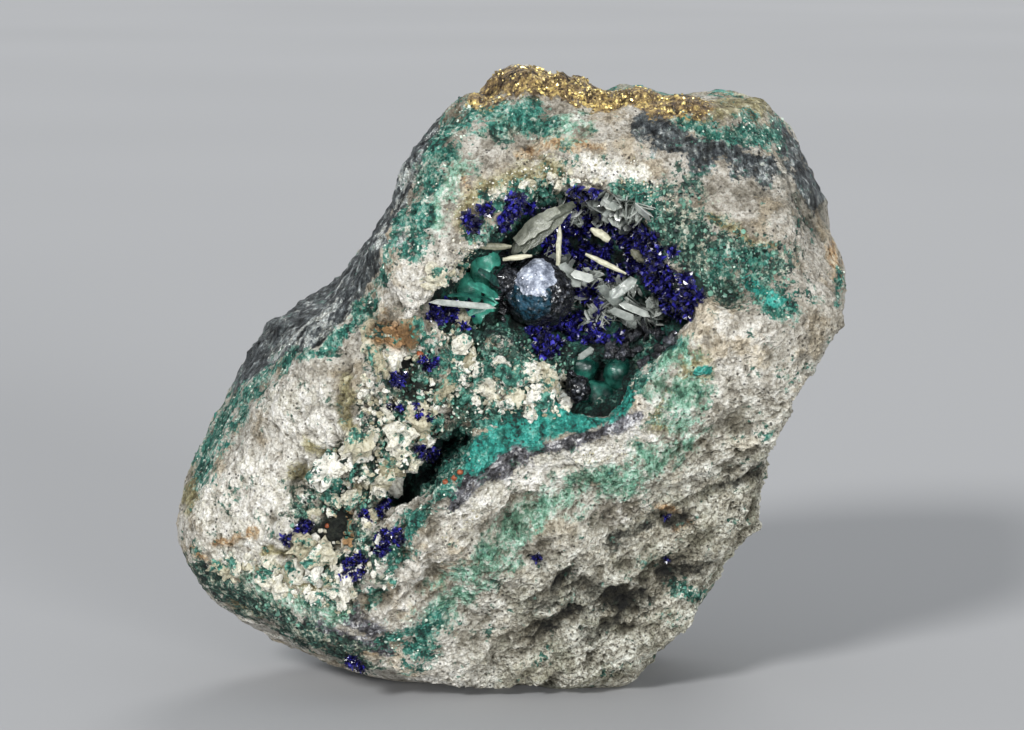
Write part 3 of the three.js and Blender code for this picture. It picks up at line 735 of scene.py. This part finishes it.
def mineral_look(name, dark, bright, size=0.5, gloss=(0.2, 0.35), bump=0.1, **shader_values):
    """A mineral whose colour wanders from dark to bright, by noise and by each crystal's shade."""
    look = Look(name)
    wander = look.math("MULTIPLY", look.math("SUBTRACT", look.noise(size), 0.5), 1.4)
    tone = look.math("ADD", wander, look.attribute("shade"))
    middle = tuple(0.45 * low + 0.55 * high for low, high in zip(dark, bright))
    look.set("Base Color", look.ramp(tone, [(0, dark), (0.55, middle), (1, bright)]))
    look.set("Roughness", look.between(look.noise(0.6 * size), 0.3, 0.7, *gloss))
    look.set("Normal", look.bump(look.noise(0.4 * size), bump, 0.7))
    for key, value in shader_values.items():
        look.set(key.replace("_", " "), value)
    return look.material


# ---- The rock ----

VOXEL = 0.72  # the remesh's grain; the front is then split once more
SPLIT_Y = -9.5  # faces in front of this are split
# Balls that fill out the rock between the pocket and the shelf: centre and radius.
FILLS = [((16.6, -20.4, 36.9), 3.2), ((18.9, -20.4, 39.6), 3.2), ((21.4, -20.8, 42.4), 3.0)]


def smooth_all(work, times):
    for _ in range(times):
        bmesh.ops.smooth_vert(work, verts=work.verts, factor=0.5,
                              use_axis_x=True, use_axis_y=True, use_axis_z=True)


def remeshed_block():
    """The CAD block, its lip filled out, as even faces in millimetres: finer at the front."""
    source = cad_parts["matrix"]
    whole = bmesh.new()
    whole.from_mesh(source.data)
    for place, radius in FILLS:
        made = bmesh.ops.create_icosphere(whole, subdivisions=3, radius=radius * MM)
        bmesh.ops.translate(whole, verts=made["verts"], vec=Vector(place) * MM)
    mesh = bpy.data.meshes.new("block_copy")
    whole.to_mesh(mesh)
    whole.free()
    copy = new_object("block_copy", mesh)
    modifier = copy.modifiers.new("even", "REMESH")
    modifier.mode = "VOXEL"
    modifier.voxel_size = VOXEL * MM
    ready = copy.evaluated_get(bpy.context.evaluated_depsgraph_get())
    work = bmesh.new()
    work.from_mesh(ready.to_mesh())
    bpy.data.objects.remove(copy)
    bmesh.ops.scale(work, vec=(1 / MM, 1 / MM, 1 / MM), verts=work.verts)
    smooth_all(work, 4)
    edges = [edge for edge in work.edges if max(end.co.y for end in edge.verts) < SPLIT_Y]
    bmesh.ops.subdivide_edges(work, edges=edges, cuts=1, use_grid_fill=True)
    smooth_all(work, 1)
    bmesh.ops.triangulate(work, faces=[face for face in work.faces if len(face.verts) > 4])
    work.normal_update()
    return work


def sunk_below_hull(points):
    """How deep each point lies under the convex hull of them all."""
    work = bmesh.new()
    for point in points[::7]:
        work.verts.new(point)
    bmesh.ops.convex_hull(work, input=work.verts)
    tree = BVHTree.FromBMesh(work)
    work.free()
    return np.array([tree.find_nearest(Vector(point))[3] for point in points])


def slope_share(points):
    """1 on the greyer lower right slope, 0 elsewhere."""
    across = points[:, 2] - 0.55 * points[:, 0] + 3 * noise(points, 9, 31)
    return smoothstep(32, 6, across) * smoothstep(-12, 6, points[:, 0])


def beyond_ridge(points):
    """1 on the rock's left face, which starts at the ridge, and 0 on its front and back."""
    places, heights = np.array(RIDGE).T
    edge = np.interp(points[:, 2], heights, places) + 0.7 * rough_noise(points, 4, 3, 19)
    above = smoothstep(33.6, 36, points[:, 2] + 3 * (points[:, 1] > -14) * noise(points, 9, 79))
    before = smoothstep(19, 15, points[:, 1] + 6 * rough_noise(points, 9, 2, 78))
    return above * before * smoothstep(0, 1.2, edge - points[:, 0])


def frost_mask(points, flank, metal):
    """White frosting: named strokes near the ridge, and patches wherever the rock is metallic."""
    drawn = strokes_mask(points, FROST, 1.3, 23) * smoothstep(-2, -8, points[:, 1])
    drawn *= smoothstep(-0.5, 0.1, rough_noise(points, 2.4, 3, 93))
    patches = smoothstep(0.1, 0.8, rough_noise(points * [1, 1, 0.6], 5, 3, 90))
    return np.maximum(drawn, patches * (0.3 * flank + 0.45 * metal))


def gold_mask(points, depth):
    """The golden seam, whole at the front of the top edge and broken into patches behind it."""
    broken = smoothstep(0.15, -0.35, rough_noise(points, 6, 3, 92)) * smoothstep(-6, -1, points[:, 1])
    return strokes_mask(points, GOLD, 0.8, 28) * smoothstep(3, -2, depth) * (1 - broken)


def zone_masks(points, sunk):
    """Each zone's strength at each point: its strokes at the front, patches of noise behind."""
    depth = points[:, 1] + 3.5 * rough_noise(points, 8, 2, 77)
    front = smoothstep(BEHIND_Y + 2.5, BEHIND_Y - 2.5, depth)
    flank = beyond_ridge(points)
    masks = {}
    for name, strokes, seed in DRAWN_ZONES:
        drawn = strokes_mask(points, strokes, 0.9, 20 + seed)
        grown = np.clip(0.2 + 0.5 * rough_noise(points, 15, 3, 40 + seed), 0, 1)
        masks[name] = (drawn * front + grown * (1 - front)) * (1 - flank)
    edge = strokes_mask(points, [(RIDGE, 0.5)], 0.5, 24) * smoothstep(-3, -8, points[:, 1])
    masks["verdigris"] = np.maximum(masks["verdigris"], edge)
    masks["metal"] = np.maximum(masks["metal"], flank)
    masks["frost"] = frost_mask(points, flank, masks["metal"])
    masks["gold"] = gold_mask(points, depth)
    masks["hollow"] = smoothstep(2.6, 6.0, sunk) * (points[:, 1] < 0)
    masks["teal"] *= 1 - smoothstep(3, 5, sunk)
    trough = smoothstep(0.15, 0.5, strokes_mask(points, TROUGH, 1.2, 3))
    masks["trough"] = trough * smoothstep(-6, -10, points[:, 1])
    rubble = smoothstep(0.3, 0.6, strokes_mask(points, RUBBLE_STROKES, 0.8, 70))
    # Painted shade: the trough's low places between the rubble are coloured near black.
    masks["gap"] = masks["trough"] * rubble * smoothstep(-0.1, -0.75, rough_noise(points, 3.0, 3, 15))
    masks["shade"] = slope_share(points)
    masks["upper_rim_darkening"] = smoothstep(0.1, 0.6, strokes_mask(points, UPPER_RIM_BAND, 2.0, 41))
    return masks


def slope_relief(points, masks):
    """Ledges and grooves that run down the lower right slope, sunk further in its dents, which also
    have painted shade.
    """
    x, y, z = points.T
    bent = z * 0.84 - x * 0.54 + 1.4 * rough_noise(points, 8, 3, 17)
    along = x * 0.84 + z * 0.54
    ledge_at = np.stack([along / 2.4, y / 2, bent], axis=1)
    grooves = -np.abs(noise(ledge_at, 3.0, 4)) - 0.8 * np.abs(noise(ledge_at, 1.2, 5))
    grooves -= 0.5 * smoothstep(0.3, 0.6, noise(points, 1.4, 33))
    step = -bent / 5
    ledges = 0.5 * (step - np.floor(step)) ** 1.6 - 0.2
    slope = 0.6 * grooves + 0.2 + 0.55 * ledges + 0.5 * noise(ledge_at, 5.5, 6)
    return masks["shade"] * (slope - 0.4 * smoothstep(0.1, 1.0, masks["dent_shade_and_dark_edge"]))


def rock_relief(points, masks):
    """How far the rock's surface stands out of the smoothed block, in millimetres."""
    warped = points + 0.5 * noise(points, 2.2, 61)[:, None]
    swell = 0.4 * rough_noise(points, 7, 2, 1)
    crumbly = np.clip(0.6 + masks["shade"] + masks["trough"], 0, 1)
    broken = 0.45 * facets(warped, 3.8, 1) + 0.28 * facets(warped, 1.9, 2)
    broken = crumbly * (broken + 0.2 * facets(warped, 0.95, 3))
    grain = 0.16 * crumbly * (0.5 - cell_noise(points, 0.7, 3))
    crumbs = np.random.default_rng(7).normal(size=len(points))
    grain += (0.06 + 0.03 * masks["shade"]) * crumbs
    pits = -0.45 * smoothstep(0.45, 0.8, noise(points, 0.9, 8)) * (noise(points, 6, 9) > -0.1)
    rubble = masks["trough"] * (1.3 * rough_noise(points, 3.0, 3, 15) - 0.1)
    beads = 0.8 * (0.5 - cell_noise(points, 1.5, 7)) * masks["hollow"]
    lip = 0.25 * smoothstep(0.3, 0.6, masks["teal"])
    plain = swell + broken + grain + pits + slope_relief(points, masks) + rubble + beads + lip
    streaks_at = points * [1, 1, 0.42]
    streaks = 0.34 * noise(streaks_at, 1.5, 12) + 0.24 * noise(streaks_at, 0.8, 13)
    metallic = np.clip(1.2 * masks["metal"], 0, 0.85)
    return (1 - metallic) * plain + metallic * (0.7 * swell + 0.7 * broken + streaks + grain)


class Rock:
    """The finished rock's surface, for placing what grows on it."""

    def __init__(self):
        work = remeshed_block()
        self.ways = np.array([vertex.normal[:] for vertex in work.verts])
        smoothed, faces = taken_apart(work)
        self.masks = zone_masks(smoothed, sunk_below_hull(smoothed))
        relief = rock_relief(smoothed, self.masks)
        moved = np.clip(smoothed + self.ways * relief[:, None], LOW, HIGH)
        off_floor = smoothstep(0.2, 1.6, smoothed[:, 2])
        height = off_floor * moved[:, 2] + (1 - off_floor) * np.maximum(smoothed[:, 2], 0)
        self.points = np.stack([moved[:, 0], moved[:, 1], height], axis=1)
        self.tree = BVHTree.FromPolygons([Vector(point) for point in self.points], faces)
        self.area = np.where(smoothed[:, 1] < SPLIT_Y, 1.0, 4.0)  # an unsplit face is four split ones
        piece = add_piece("host_rock", self.points, faces, rock_look(), False,
                          {**self.masks, "relief": relief})
        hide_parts("matrix")

    def spots(self, mask, count, dice, lift=0.0):
        """Random spots, more of them where the mask is high: places and outward ways."""
        weights = mask * self.area
        chosen = dice.choice(len(weights), count, p=weights / weights.sum())
        return self.points[chosen] + lift * self.ways[chosen], self.ways[chosen]

    def strokes(self, strokes, warp=0.4):
        """A mask of the strokes on the rock's front and in its hollows."""
        drawn = strokes_mask(self.points, strokes, warp, 70)
        return smoothstep(0.3, 0.6, drawn) * smoothstep(-3, -6, self.points[:, 1])

    def in_front(self, x, z):
        """The place that a ray from the front meets at (x, z)."""
        return np.array(self.tree.ray_cast(Vector((x, LOW[1] - 5, z)), Vector((0, 1, 0)))[0])


rock = Rock()

# ---- Blue crystals ----


def bunches(places, ways, blades_each, length, dice):
    """Bunches of blades spreading from spots on the rock: points, triangles and shades."""
    count = len(places) * blades_each
    lifts = dice.uniform(0, 0.7 * length, (len(places), 1))
    centre = np.repeat(places + lifts * ways, blades_each, axis=0)
    outward = np.repeat(unit(ways + [0, -0.5, 0.1]), blades_each, axis=0)
    spread = unit(outward + 0.9 * dice.normal(size=outward.shape))
    spread[np.sum(spread * outward, axis=1) < 0] *= -1
    lengths = length * dice.uniform(0.6, 1.25, count)
    widths = dice.uniform(0.4, 0.75, count)
    thicknesses = dice.uniform(0.2, 0.4, count)
    sizes = lengths[:, None] * np.stack([widths, thicknesses, np.ones(count)], axis=1)
    frames = turned_frames(spread, dice.uniform(0, 2 * math.pi, count))
    points, faces, owner = scattered(spear_template(), centre, frames, sizes)
    # Tones differ at random, most of them dark navy; the few bright blades stand in for glints, as
    # painted glints.
    return points, faces, (dice.random(count) ** 2.8)[owner]


def make_clinoclase():
    dice = np.random.default_rng(11)
    inside = rock.spots(rock.strokes(BLUE), BUNCHES_INSIDE, dice)
    outside = rock.spots(rock.strokes(BLUE_OUTSIDE, 0.2), BUNCHES_OUTSIDE, dice, 0.2)
    parts = [bunches(*inside, 26, 1.05, dice), bunches(*outside, 14, 0.7, dice)]
    points, faces = joined([part[:2] for part in parts])
    shades = np.concatenate([part[2] for part in parts])
    look = mineral_look("clinoclase", (8, 7, 20), (52, 50, 160), 0.6, (0.05, 0.2), 0.06,
                        Coat_Weight=0.4, Coat_Roughness=0.08)
    crystals = add_piece("clinoclase_crystals", points, faces, look, attributes={"shade": shades})
    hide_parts("clinoclase_crust")


make_clinoclase()

# ---- Rubble, druse, beads and grains: many small lumps ----


def lumps(places, radii, splits, roughness, dice, stretch=0.3):
    """Irregular lumps, one at each place: points, triangles and owner numbers."""
    sizes = radii[:, None] * dice.uniform(1 - stretch, 1 + stretch, (len(places), 3))
    frames = turned_frames(dice.normal(size=(len(places), 3)), dice.uniform(0, 6.3, len(places)))
    points, faces, owner = scattered(ball_template(splits), places, frames, sizes)
    scaled = points / radii[owner][:, None]
    reach = roughness * (0.6 * rough_noise(scaled, 1.1, 2, 3) + 0.8 * facets(scaled, 0.8, 4))
    return points + (points - places[owner]) * reach[:, None], faces, owner


def rubble_look():
    """Cream lumps, some stained green or rusty, with painted shade in their pits."""
    look = Look("rubble")
    grit = look.noise(0.45, detail=5.0, roughness=0.75)
    tone = look.math("ADD", look.attribute("shade"), look.noise(0.5, detail=5.0, roughness=0.75))
    pale = look.ramp(look.math("MULTIPLY", tone, 0.5),
                     [(0.2, (134, 126, 98)), (0.36, (208, 202, 176)),
                      (0.48, (232, 228, 210)), (0.6, (244, 242, 232))])
    rust = look.between(look.attribute("rust"), 0.2, 0.7)
    pale = look.mix(rust, pale, srgb(190, 152, 116), "MULTIPLY")
    green = look.ramp(look.noise(0.7, detail=6.0, roughness=0.7),
                      [(0.36, (12, 40, 36)), (0.48, (34, 104, 90)), (0.6, (112, 176, 158))])
    speckle = look.math("SUBTRACT", look.noise(0.6, detail=5.0, roughness=0.75), 0.5)
    cover = look.math("MULTIPLY_ADD", speckle, 3.0, look.attribute("green"))
    colour = look.mix(look.between(cover, 0.25, 0.45), pale, green)
    # Painted shade: the low places of the grit bump are coloured darker.
    pits = look.ramp(grit, [(0.36, (92, 86, 72)), (0.46, (226, 222, 212)), (0.54, (255, 255, 255))])
    look.set("Base Color", look.mix(0.65, colour, pits, "MULTIPLY"))
    look.set("Roughness", look.between(look.noise(0.8), 0.3, 0.7, 0.45, 0.75))
    look.set("Normal", look.bump(grit, 0.5, 1.0))
    return look.material


def make_rubble():
    """Pale broken lumps and crumbs that half fill the trough below the hollow."""
    dice = np.random.default_rng(21)
    mask = rock.strokes(RUBBLE_STROKES, 0.8)
    knobs = np.array([rock.in_front(x, z) for x, z, _ in KNOBS])
    big_places = np.concatenate([knobs, rock.spots(mask, BIG_LUMPS, dice, -0.1)[0]])
    big_radii = 0.4 + 1.1 * dice.random(BIG_LUMPS) ** 3
    big_radii = np.concatenate([[radius for _, _, radius in KNOBS], big_radii])
    big = lumps(big_places, big_radii, 3, 0.8, dice, 0.45)
    small_radii = 0.12 + 0.26 * dice.random(SMALL_LUMPS) ** 1.5
    small = lumps(rock.spots(mask, SMALL_LUMPS, dice, 0.1)[0], small_radii, 2, 0.7, dice, 0.45)
    points, faces = joined([big[:2], small[:2]])
    shades = [dice.random(len(big_radii))[big[2]], dice.random(SMALL_LUMPS)[small[2]]]
    stained = 0.4 * strokes_mask(points, VERDIGRIS, 0.6, 24)
    green = noise(points, 2.6, 51) + 0.5 * noise(points, 0.8, 52) + stained
    piece = add_piece("rubble", points, faces, rubble_look(), False,
                      {"shade": np.concatenate(shades), "green": green,
                       "rust": strokes_mask(points, OCHRE, 0.6, 25)})


def make_grains(name, mask, count, radii, look, dice, lift=0.0):
    """Angular grains of one mineral, more of them where the mask is high."""
    low, high = radii
    sizes = low + (high - low) * dice.random(count) ** 2
    points, faces, owner = lumps(rock.spots(mask, count, dice, lift)[0], sizes, 1, 0.5, dice, 0.4)
    points = np.clip(points, LOW, HIGH)
    piece = add_piece(name, points, faces, look, attributes={"shade": dice.random(count)[owner]})


def make_all_grains():
    dice = np.random.default_rng(31)
    quartz = mineral_look("quartz", (150, 142, 108), (240, 238, 226), 1.0, (0.15, 0.45), 0.08,
                          Transmission_Weight=0.2, IOR=1.54)
    make_grains("quartz_druse", rock.strokes(DRUSE, 0.8), 1800, (0.05, 0.18), quartz, dice, -0.05)
    green = mineral_look("green_grains", (6, 18, 17), (104, 148, 128), 0.9, (0.2, 0.5), 0.08)
    make_grains("green_grains", rock.strokes(GREEN_GRAINS, 0.8), 2600, (0.08, 0.32), green, dice)
    mixed = mineral_look("verdigris", (8, 44, 38), (214, 224, 208), 0.7, (0.3, 0.6), 0.08)
    flecks = smoothstep(0.3, 0.6, rock.masks["verdigris"]) * (rock.points[:, 1] < 0)
    make_grains("verdigris_grains", flecks, 1500, (0.06, 0.2), mixed, dice, -0.04)
    brass = mineral_look("chalcopyrite", (58, 44, 36), (255, 232, 150), 2.6, (0.2, 0.45), 0.1,
                         Metallic=0.5)
    patches = smoothstep(-0.35, 0.2, rough_noise(rock.points, 4, 2, 94))
    seam = smoothstep(0.45, 0.7, rock.masks["gold"]) * (0.25 + patches)
    make_grains("chalcopyrite_grains", seam, 3000, (0.06, 0.26), brass, dice, -0.1)


def make_orange_beads():
    dice = np.random.default_rng(61)
    places = np.array([rock.in_front(x, z) for x, z in ORANGE_BEADS])
    points, faces, _ = lumps(places, dice.uniform(0.22, 0.36, len(places)), 2, 0.3, dice, 0.2)
    look = mineral_look("orange_beads", (84, 38, 20), (196, 104, 52), 0.4, (0.35, 0.6), 0.08)
    piece = add_piece("orange_beads", points, faces, look, True, {"shade": np.full(len(points), 0.4)})


make_rubble()
make_all_grains()
make_orange_beads()

# ---- Plates ----

PLATE_STEPS = (13, 5)  # points along and across each side of a plate


def plate(start, end, width, thickness, facing, bend, dice):
    """A thin plate from start to end, its flat side towards `facing`: points and quads."""
    along, across = PLATE_STEPS
    start, end, facing = np.array(start, float), np.array(end, float), np.array(facing, float)
    way = unit(end - start)
    side = unit(np.cross(facing, way))
    front = np.cross(way, side)
    length = np.linalg.norm(end - start)
    grid = [(i / (along - 1), 2 * j / (across - 1) - 1) for i in range(along) for j in range(across)]
    u, v = np.array(grid).T
    ragged = 1 + 0.3 * noise(np.stack([u * 9, np.sign(v) * 3, 0 * u + dice.random() * 90], 1), 1.3)
    tip = dice.uniform(0.2, 0.75, 2)
    taper = 1 - tip[0] * np.clip(1 - u / 0.3, 0, 1) - tip[1] * np.clip((u - 0.7) / 0.3, 0, 1)
    half_width = 0.5 * width * taper * ragged
    arch = bend * (1 - (2 * u - 1) ** 2) + 0.25 * width * bend / length * v**2
    middle = start + np.outer(u * length, way) + np.outer(half_width * v, side)
    middle += np.outer(arch + 0.03 * width * noise(np.stack([u * 7, v * 2, 0 * u], 1), 1.1), front)
    half_thick = 0.5 * thickness * (1 - 0.7 * np.abs(v) ** 3)
    away = np.outer(half_thick, front)
    points = np.concatenate([middle + away, middle - away])
    faces = []
    count = along * across
    for i in range(along - 1):
        for j in range(across - 1):
            corner = i * across + j
            top = (corner, corner + across, corner + across + 1, corner + 1)
            faces.append(top)
            faces.append(tuple(count + index for index in reversed(top)))
    rim = [i * across for i in range(along)] + [(along - 1) * across + j for j in range(1, across)]
    rim += [i * across + across - 1 for i in range(along - 2, -1, -1)] + list(range(across - 2, 0, -1))
    for here, there in zip(rim, rim[1:] + rim[:1]):
        faces.append((there, here, count + here, count + there))
    return points, [np.array(face) for face in faces]


def make_plates(name, rows, look, dice):
    """Plates from rows of start, end, width, thickness, facing and bend."""
    points, faces = joined([plate(*row, dice) for row in rows])
    each = len(points) // len(rows)
    shades = np.repeat(dice.random(len(rows)), each)
    piece = add_piece(name, points, faces, look, False, {"shade": shades})


def tablet_fans(mask, count, each, dice):
    """Places, frames and sizes of small tablets that stand in fans on the hollow's wall."""
    places, ways = rock.spots(mask, count, dice, 0.3)
    out = np.repeat(unit(ways + [0, -0.7, 0.2]), each, axis=0)
    own = np.repeat(unit(np.cross(out[::each], dice.normal(size=(count, 3)))), each, axis=0)
    total = count * each
    facing = unit(own + 0.4 * dice.normal(size=(total, 3)))
    apart = dice.uniform(-0.7, 0.7, (total, 1))
    centres = np.repeat(places, each, axis=0) + apart * own + dice.uniform(0, 0.9, (total, 1)) * out
    frames = turned_frames(facing, dice.uniform(0, 6.3, total))
    sizes = np.stack([dice.uniform(1.0, 3.0, total), dice.uniform(0.6, 1.7, total),
                      dice.uniform(0.07, 0.13, total)], axis=1)
    return centres, frames, sizes


def placed_tablets(rows):
    """Places, frames and sizes of the tablets in TABLETS."""
    starts, ends, facings = (np.array([row[k] for row in rows]) for k in (0, 1, 4))
    ways = unit(ends - starts)
    sides = unit(np.cross(facings, ways))
    frames = np.stack([ways, sides, np.cross(ways, sides)], axis=1)
    lengths = np.linalg.norm(ends - starts, axis=1)
    sizes = np.stack([lengths, [row[2] for row in rows], [row[3] for row in rows]], axis=1)
    return (starts + ends) / 2, frames, sizes


def make_tablets(dice):
    """The glassy tablets: those in TABLETS, and fans of smaller ones."""
    fans = tablet_fans(rock.strokes(TABLET_STROKES), *TABLET_FANS, dice)
    pairs = zip(placed_tablets(TABLETS), fans)
    places, frames, sizes = (np.concatenate(pair) for pair in pairs)
    points, faces, owner = scattered(tablet_template(), places, frames, sizes)
    shades = dice.random(len(places))[owner]
    look = mineral_look("baryte", (120, 128, 121), (236, 239, 232), 0.9, (0.03, 0.18), 0.05,
                        Transmission_Weight=0.5, IOR=1.64)
    piece = add_piece("baryte_tablets", points, faces, look, attributes={"shade": shades})


def make_single_plates(dice):
    dull = mineral_look("baryte_wing", (50, 54, 47), (118, 120, 107), 0.7, (0.1, 0.35), 0.12)
    make_plates("baryte_wing", WING, dull, dice)
    cream = mineral_look("baryte_cream", (88, 88, 72), (186, 183, 160), 0.6, (0.2, 0.45), 0.12)
    make_plates("cream_laths", CREAM_LATHS, cream, dice)
    green = mineral_look("malachite_leaves", (6, 40, 36), (64, 160, 136), 0.8, (0.25, 0.5), 0.1)
    make_plates("malachite_leaves", MALACHITE_LEAVES, green, dice)


def make_domes():
    """Smooth green swellings on the hollow's left wall and in the pocket at its foot, those in the
    pocket painted darker as shade.
    """
    points, faces = ball_template(5)
    parts = []
    for centre, halves in MALACHITE_DOMES:
        dome = points * halves + centre
        beads = 0.3 * (0.5 - cell_noise(dome, 1.3, 5)) + 0.2 * noise(dome, 1.6, 6)
        parts.append((dome + points * beads[:, None], faces))
    places, joined_faces = joined(parts)
    look = mineral_look("malachite_domes", (8, 44, 38), (70, 160, 138), 1.2, (0.2, 0.45), 0.1)
    # Painted shade: the domes in the pocket, right of x = 5, are coloured much darker than those on
    # the left wall.
    shades = 0.85 + 0.3 * noise(places, 2.0, 77) - 0.75 * (places[:, 0] > 5)
    domes = add_piece("malachite_domes", places, joined_faces, look, True, {"shade": shades})


plate_dice = np.random.default_rng(71)
make_tablets(plate_dice)
make_single_plates(plate_dice)
make_domes()

# ---- Dark balls ----

HIGHLIGHT_WAY = (-0.08, -0.8, 0.6)  # where the large ball has its painted highlight and is smoother
TINT_WAY = (-0.25, -0.9, -0.1)  # where it is tinted blue


def dark_ball_look():
    """Black beads, with a ragged pale highlight painted on their top side and a blue tint below it."""
    look = Look("dark_ball")
    body = look.ramp(look.noise(0.6, detail=5.0, roughness=0.75),
                     [(0.4, (5, 5, 7)), (0.55, (26, 27, 31)), (0.66, (84, 88, 96))])
    # Painted highlight: the pale colour on the side that faces the key light.
    highlight_cap = look.ramp(look.noise(1.0, detail=5.0, roughness=0.7),
                    [(0.36, (74, 80, 92)), (0.5, (134, 140, 154)), (0.64, (190, 196, 206))])
    tint = look.ramp(look.noise(0.6), [(0.4, (8, 18, 24)), (0.65, (34, 70, 88))])
    ragged = look.math("SUBTRACT", look.noise(0.9, detail=5.0, roughness=0.7), 0.5)
    highlight_reach = look.math("MULTIPLY_ADD", ragged, 1.8, look.attribute("highlight_cap"))
    highlight_cover = look.between(highlight_reach, 0.4, 0.6)
    tint_reach = look.math("ADD", look.attribute("tint"), look.noise(0.9, detail=5.0))
    tint_cover = look.between(tint_reach, 0.95, 1.35)
    look.set("Base Color", look.mix(highlight_cover, look.mix(tint_cover, body, tint), highlight_cap))
    look.set("Roughness", look.between(look.noise(0.5), 0.35, 0.65, 0.12, 0.4))
    look.set("Coat Weight", 0.3)
    look.set("Normal", look.bump(look.cells(0.4), 0.2, 0.7))
    return look.material


def ball(centre, radius, seed):
    """A ball crusted with beads, smoother where its highlight is painted: points, faces, and its
    highlight and tint shares.
    """
    points, faces = ball_template(5)
    # The painted highlight's share, on the side towards the key light.
    highlight_cap = smoothstep(0.8, 0.88, points @ unit(np.array(HIGHLIGHT_WAY)) + 0.1 * noise(points, 0.3, seed))
    beads = 0.5 * (0.5 - cell_noise(points * radius, 0.8, seed)) * (1 - 0.75 * highlight_cap)
    swell = 0.08 * radius * noise(points, 0.7, seed)
    tint = smoothstep(0.6, 0.95, points @ unit(np.array(TINT_WAY)))
    return centre + points * (radius + beads + swell)[:, None], faces, highlight_cap, tint


def make_balls():
    """The large dark ball with its pale painted highlight, and two smaller all-black ones."""
    parts = [ball(np.array(centre), radius, seed)
             for seed, (centre, radius) in enumerate(DARK_BALLS)]
    points, faces = joined([part[:2] for part in parts])
    shares = {key: np.concatenate([part[column] * (index == 0) for index, part in enumerate(parts)])
              for key, column in (("highlight_cap", 2), ("tint", 3))}
    piece = add_piece("dark_balls", points, faces, dark_ball_look(), True, shares)


def make_black_crystals():
    """Glossy black grains at the hollow's lower right and round the dark ball."""
    dice = np.random.default_rng(81)
    places, _ = rock.spots(rock.strokes(BLACK_STROKES), BLACK_GRAINS, dice, 0.2)
    radii = 0.3 + 0.5 * dice.random(BLACK_GRAINS)
    points, faces, owner = lumps(places, radii, 1, 0.3, dice, 0.5)
    look = mineral_look("black_crystals", (6, 6, 8), (96, 98, 106), 0.5, (0.04, 0.2), 0.2,
                        Metallic=0.5, Coat_Weight=0.8)
    shades = 0.7 * dice.random(BLACK_GRAINS)[owner]
    piece = add_piece("black_crystals", points, faces, look, attributes={"shade": shades})


make_balls()
make_black_crystals()

# ---- Floor, light and camera ----

AIM = Vector((0.35, 0, 37.3)) * MM
CAMERA_DISTANCE = 400 * MM
CAMERA_RISE = math.radians(8)
VIEW_WIDTH = 120.8 * MM  # what the picture's width spans at AIM
FLOOR_REACH = 6.0  # metres from its middle to each side
LIGHTS = [  # name, place, softness in degrees, strength and colour
    ("key", (-200, -380, 290), 11, 2.75, (1, 1, 1)),
    ("fill", (200, -420, 90), 20, 3.25, (0.98, 0.99, 1.0)),
    ("rim", (60, 300, 330), 25, 0.8, (1, 1, 1)),
]


def look_at(thing, target):
    thing.rotation_euler = (target - thing.location).to_track_quat("-Z", "Y").to_euler()


def add_camera():
    data = bpy.data.cameras.new("camera")
    data.lens = data.sensor_width * CAMERA_DISTANCE / VIEW_WIDTH
    data.clip_start = 0.01
    camera = new_object("camera", data)
    away = Vector((0, -math.cos(CAMERA_RISE), math.sin(CAMERA_RISE)))
    camera.location = AIM + CAMERA_DISTANCE * away
    look_at(camera, AIM)
    bpy.context.scene.camera = camera


def add_light(name, place, softness, strength, colour):
    """A far, soft light that shines from `place` towards the rock."""
    data = bpy.data.lights.new(name, "SUN")
    data.angle = math.radians(softness)
    data.energy = strength
    data.color = colour
    light = new_object(name, data)
    light.location = Vector(place) * MM
    look_at(light, AIM)


def add_floor():
    """A pale floor, large enough to fill the view."""
    data = bpy.data.meshes.new("floor")
    corners = [(x * FLOOR_REACH, y * FLOOR_REACH, 0) for x, y in ((-1, -1), (1, -1), (1, 1), (-1, 1))]
    data.from_pydata(corners, [], [(0, 1, 2, 3)])
    floor = new_object("floor", data)
    look = Look("floor")
    tone = look.noise(400.0, detail=1.0)
    look.set("Base Color", look.ramp(tone, [(0.3, (160, 160, 161)), (0.7, (164, 164, 165))]))
    look.set("Roughness", 0.9)
    data.materials.append(look.material)


def add_world():
    world = bpy.data.worlds.new("studio")
    world.use_nodes = True
    background = world.node_tree.nodes["Background"]
    background.inputs["Color"].default_value = (0.9, 0.95, 1.0, 1)
    background.inputs["Strength"].default_value = 0.5
    bpy.context.scene.world = world


add_camera()
for row in LIGHTS:
    add_light(*row)
add_floor()
add_world()
bpy.context.scene.view_settings.view_transform = "Standard"
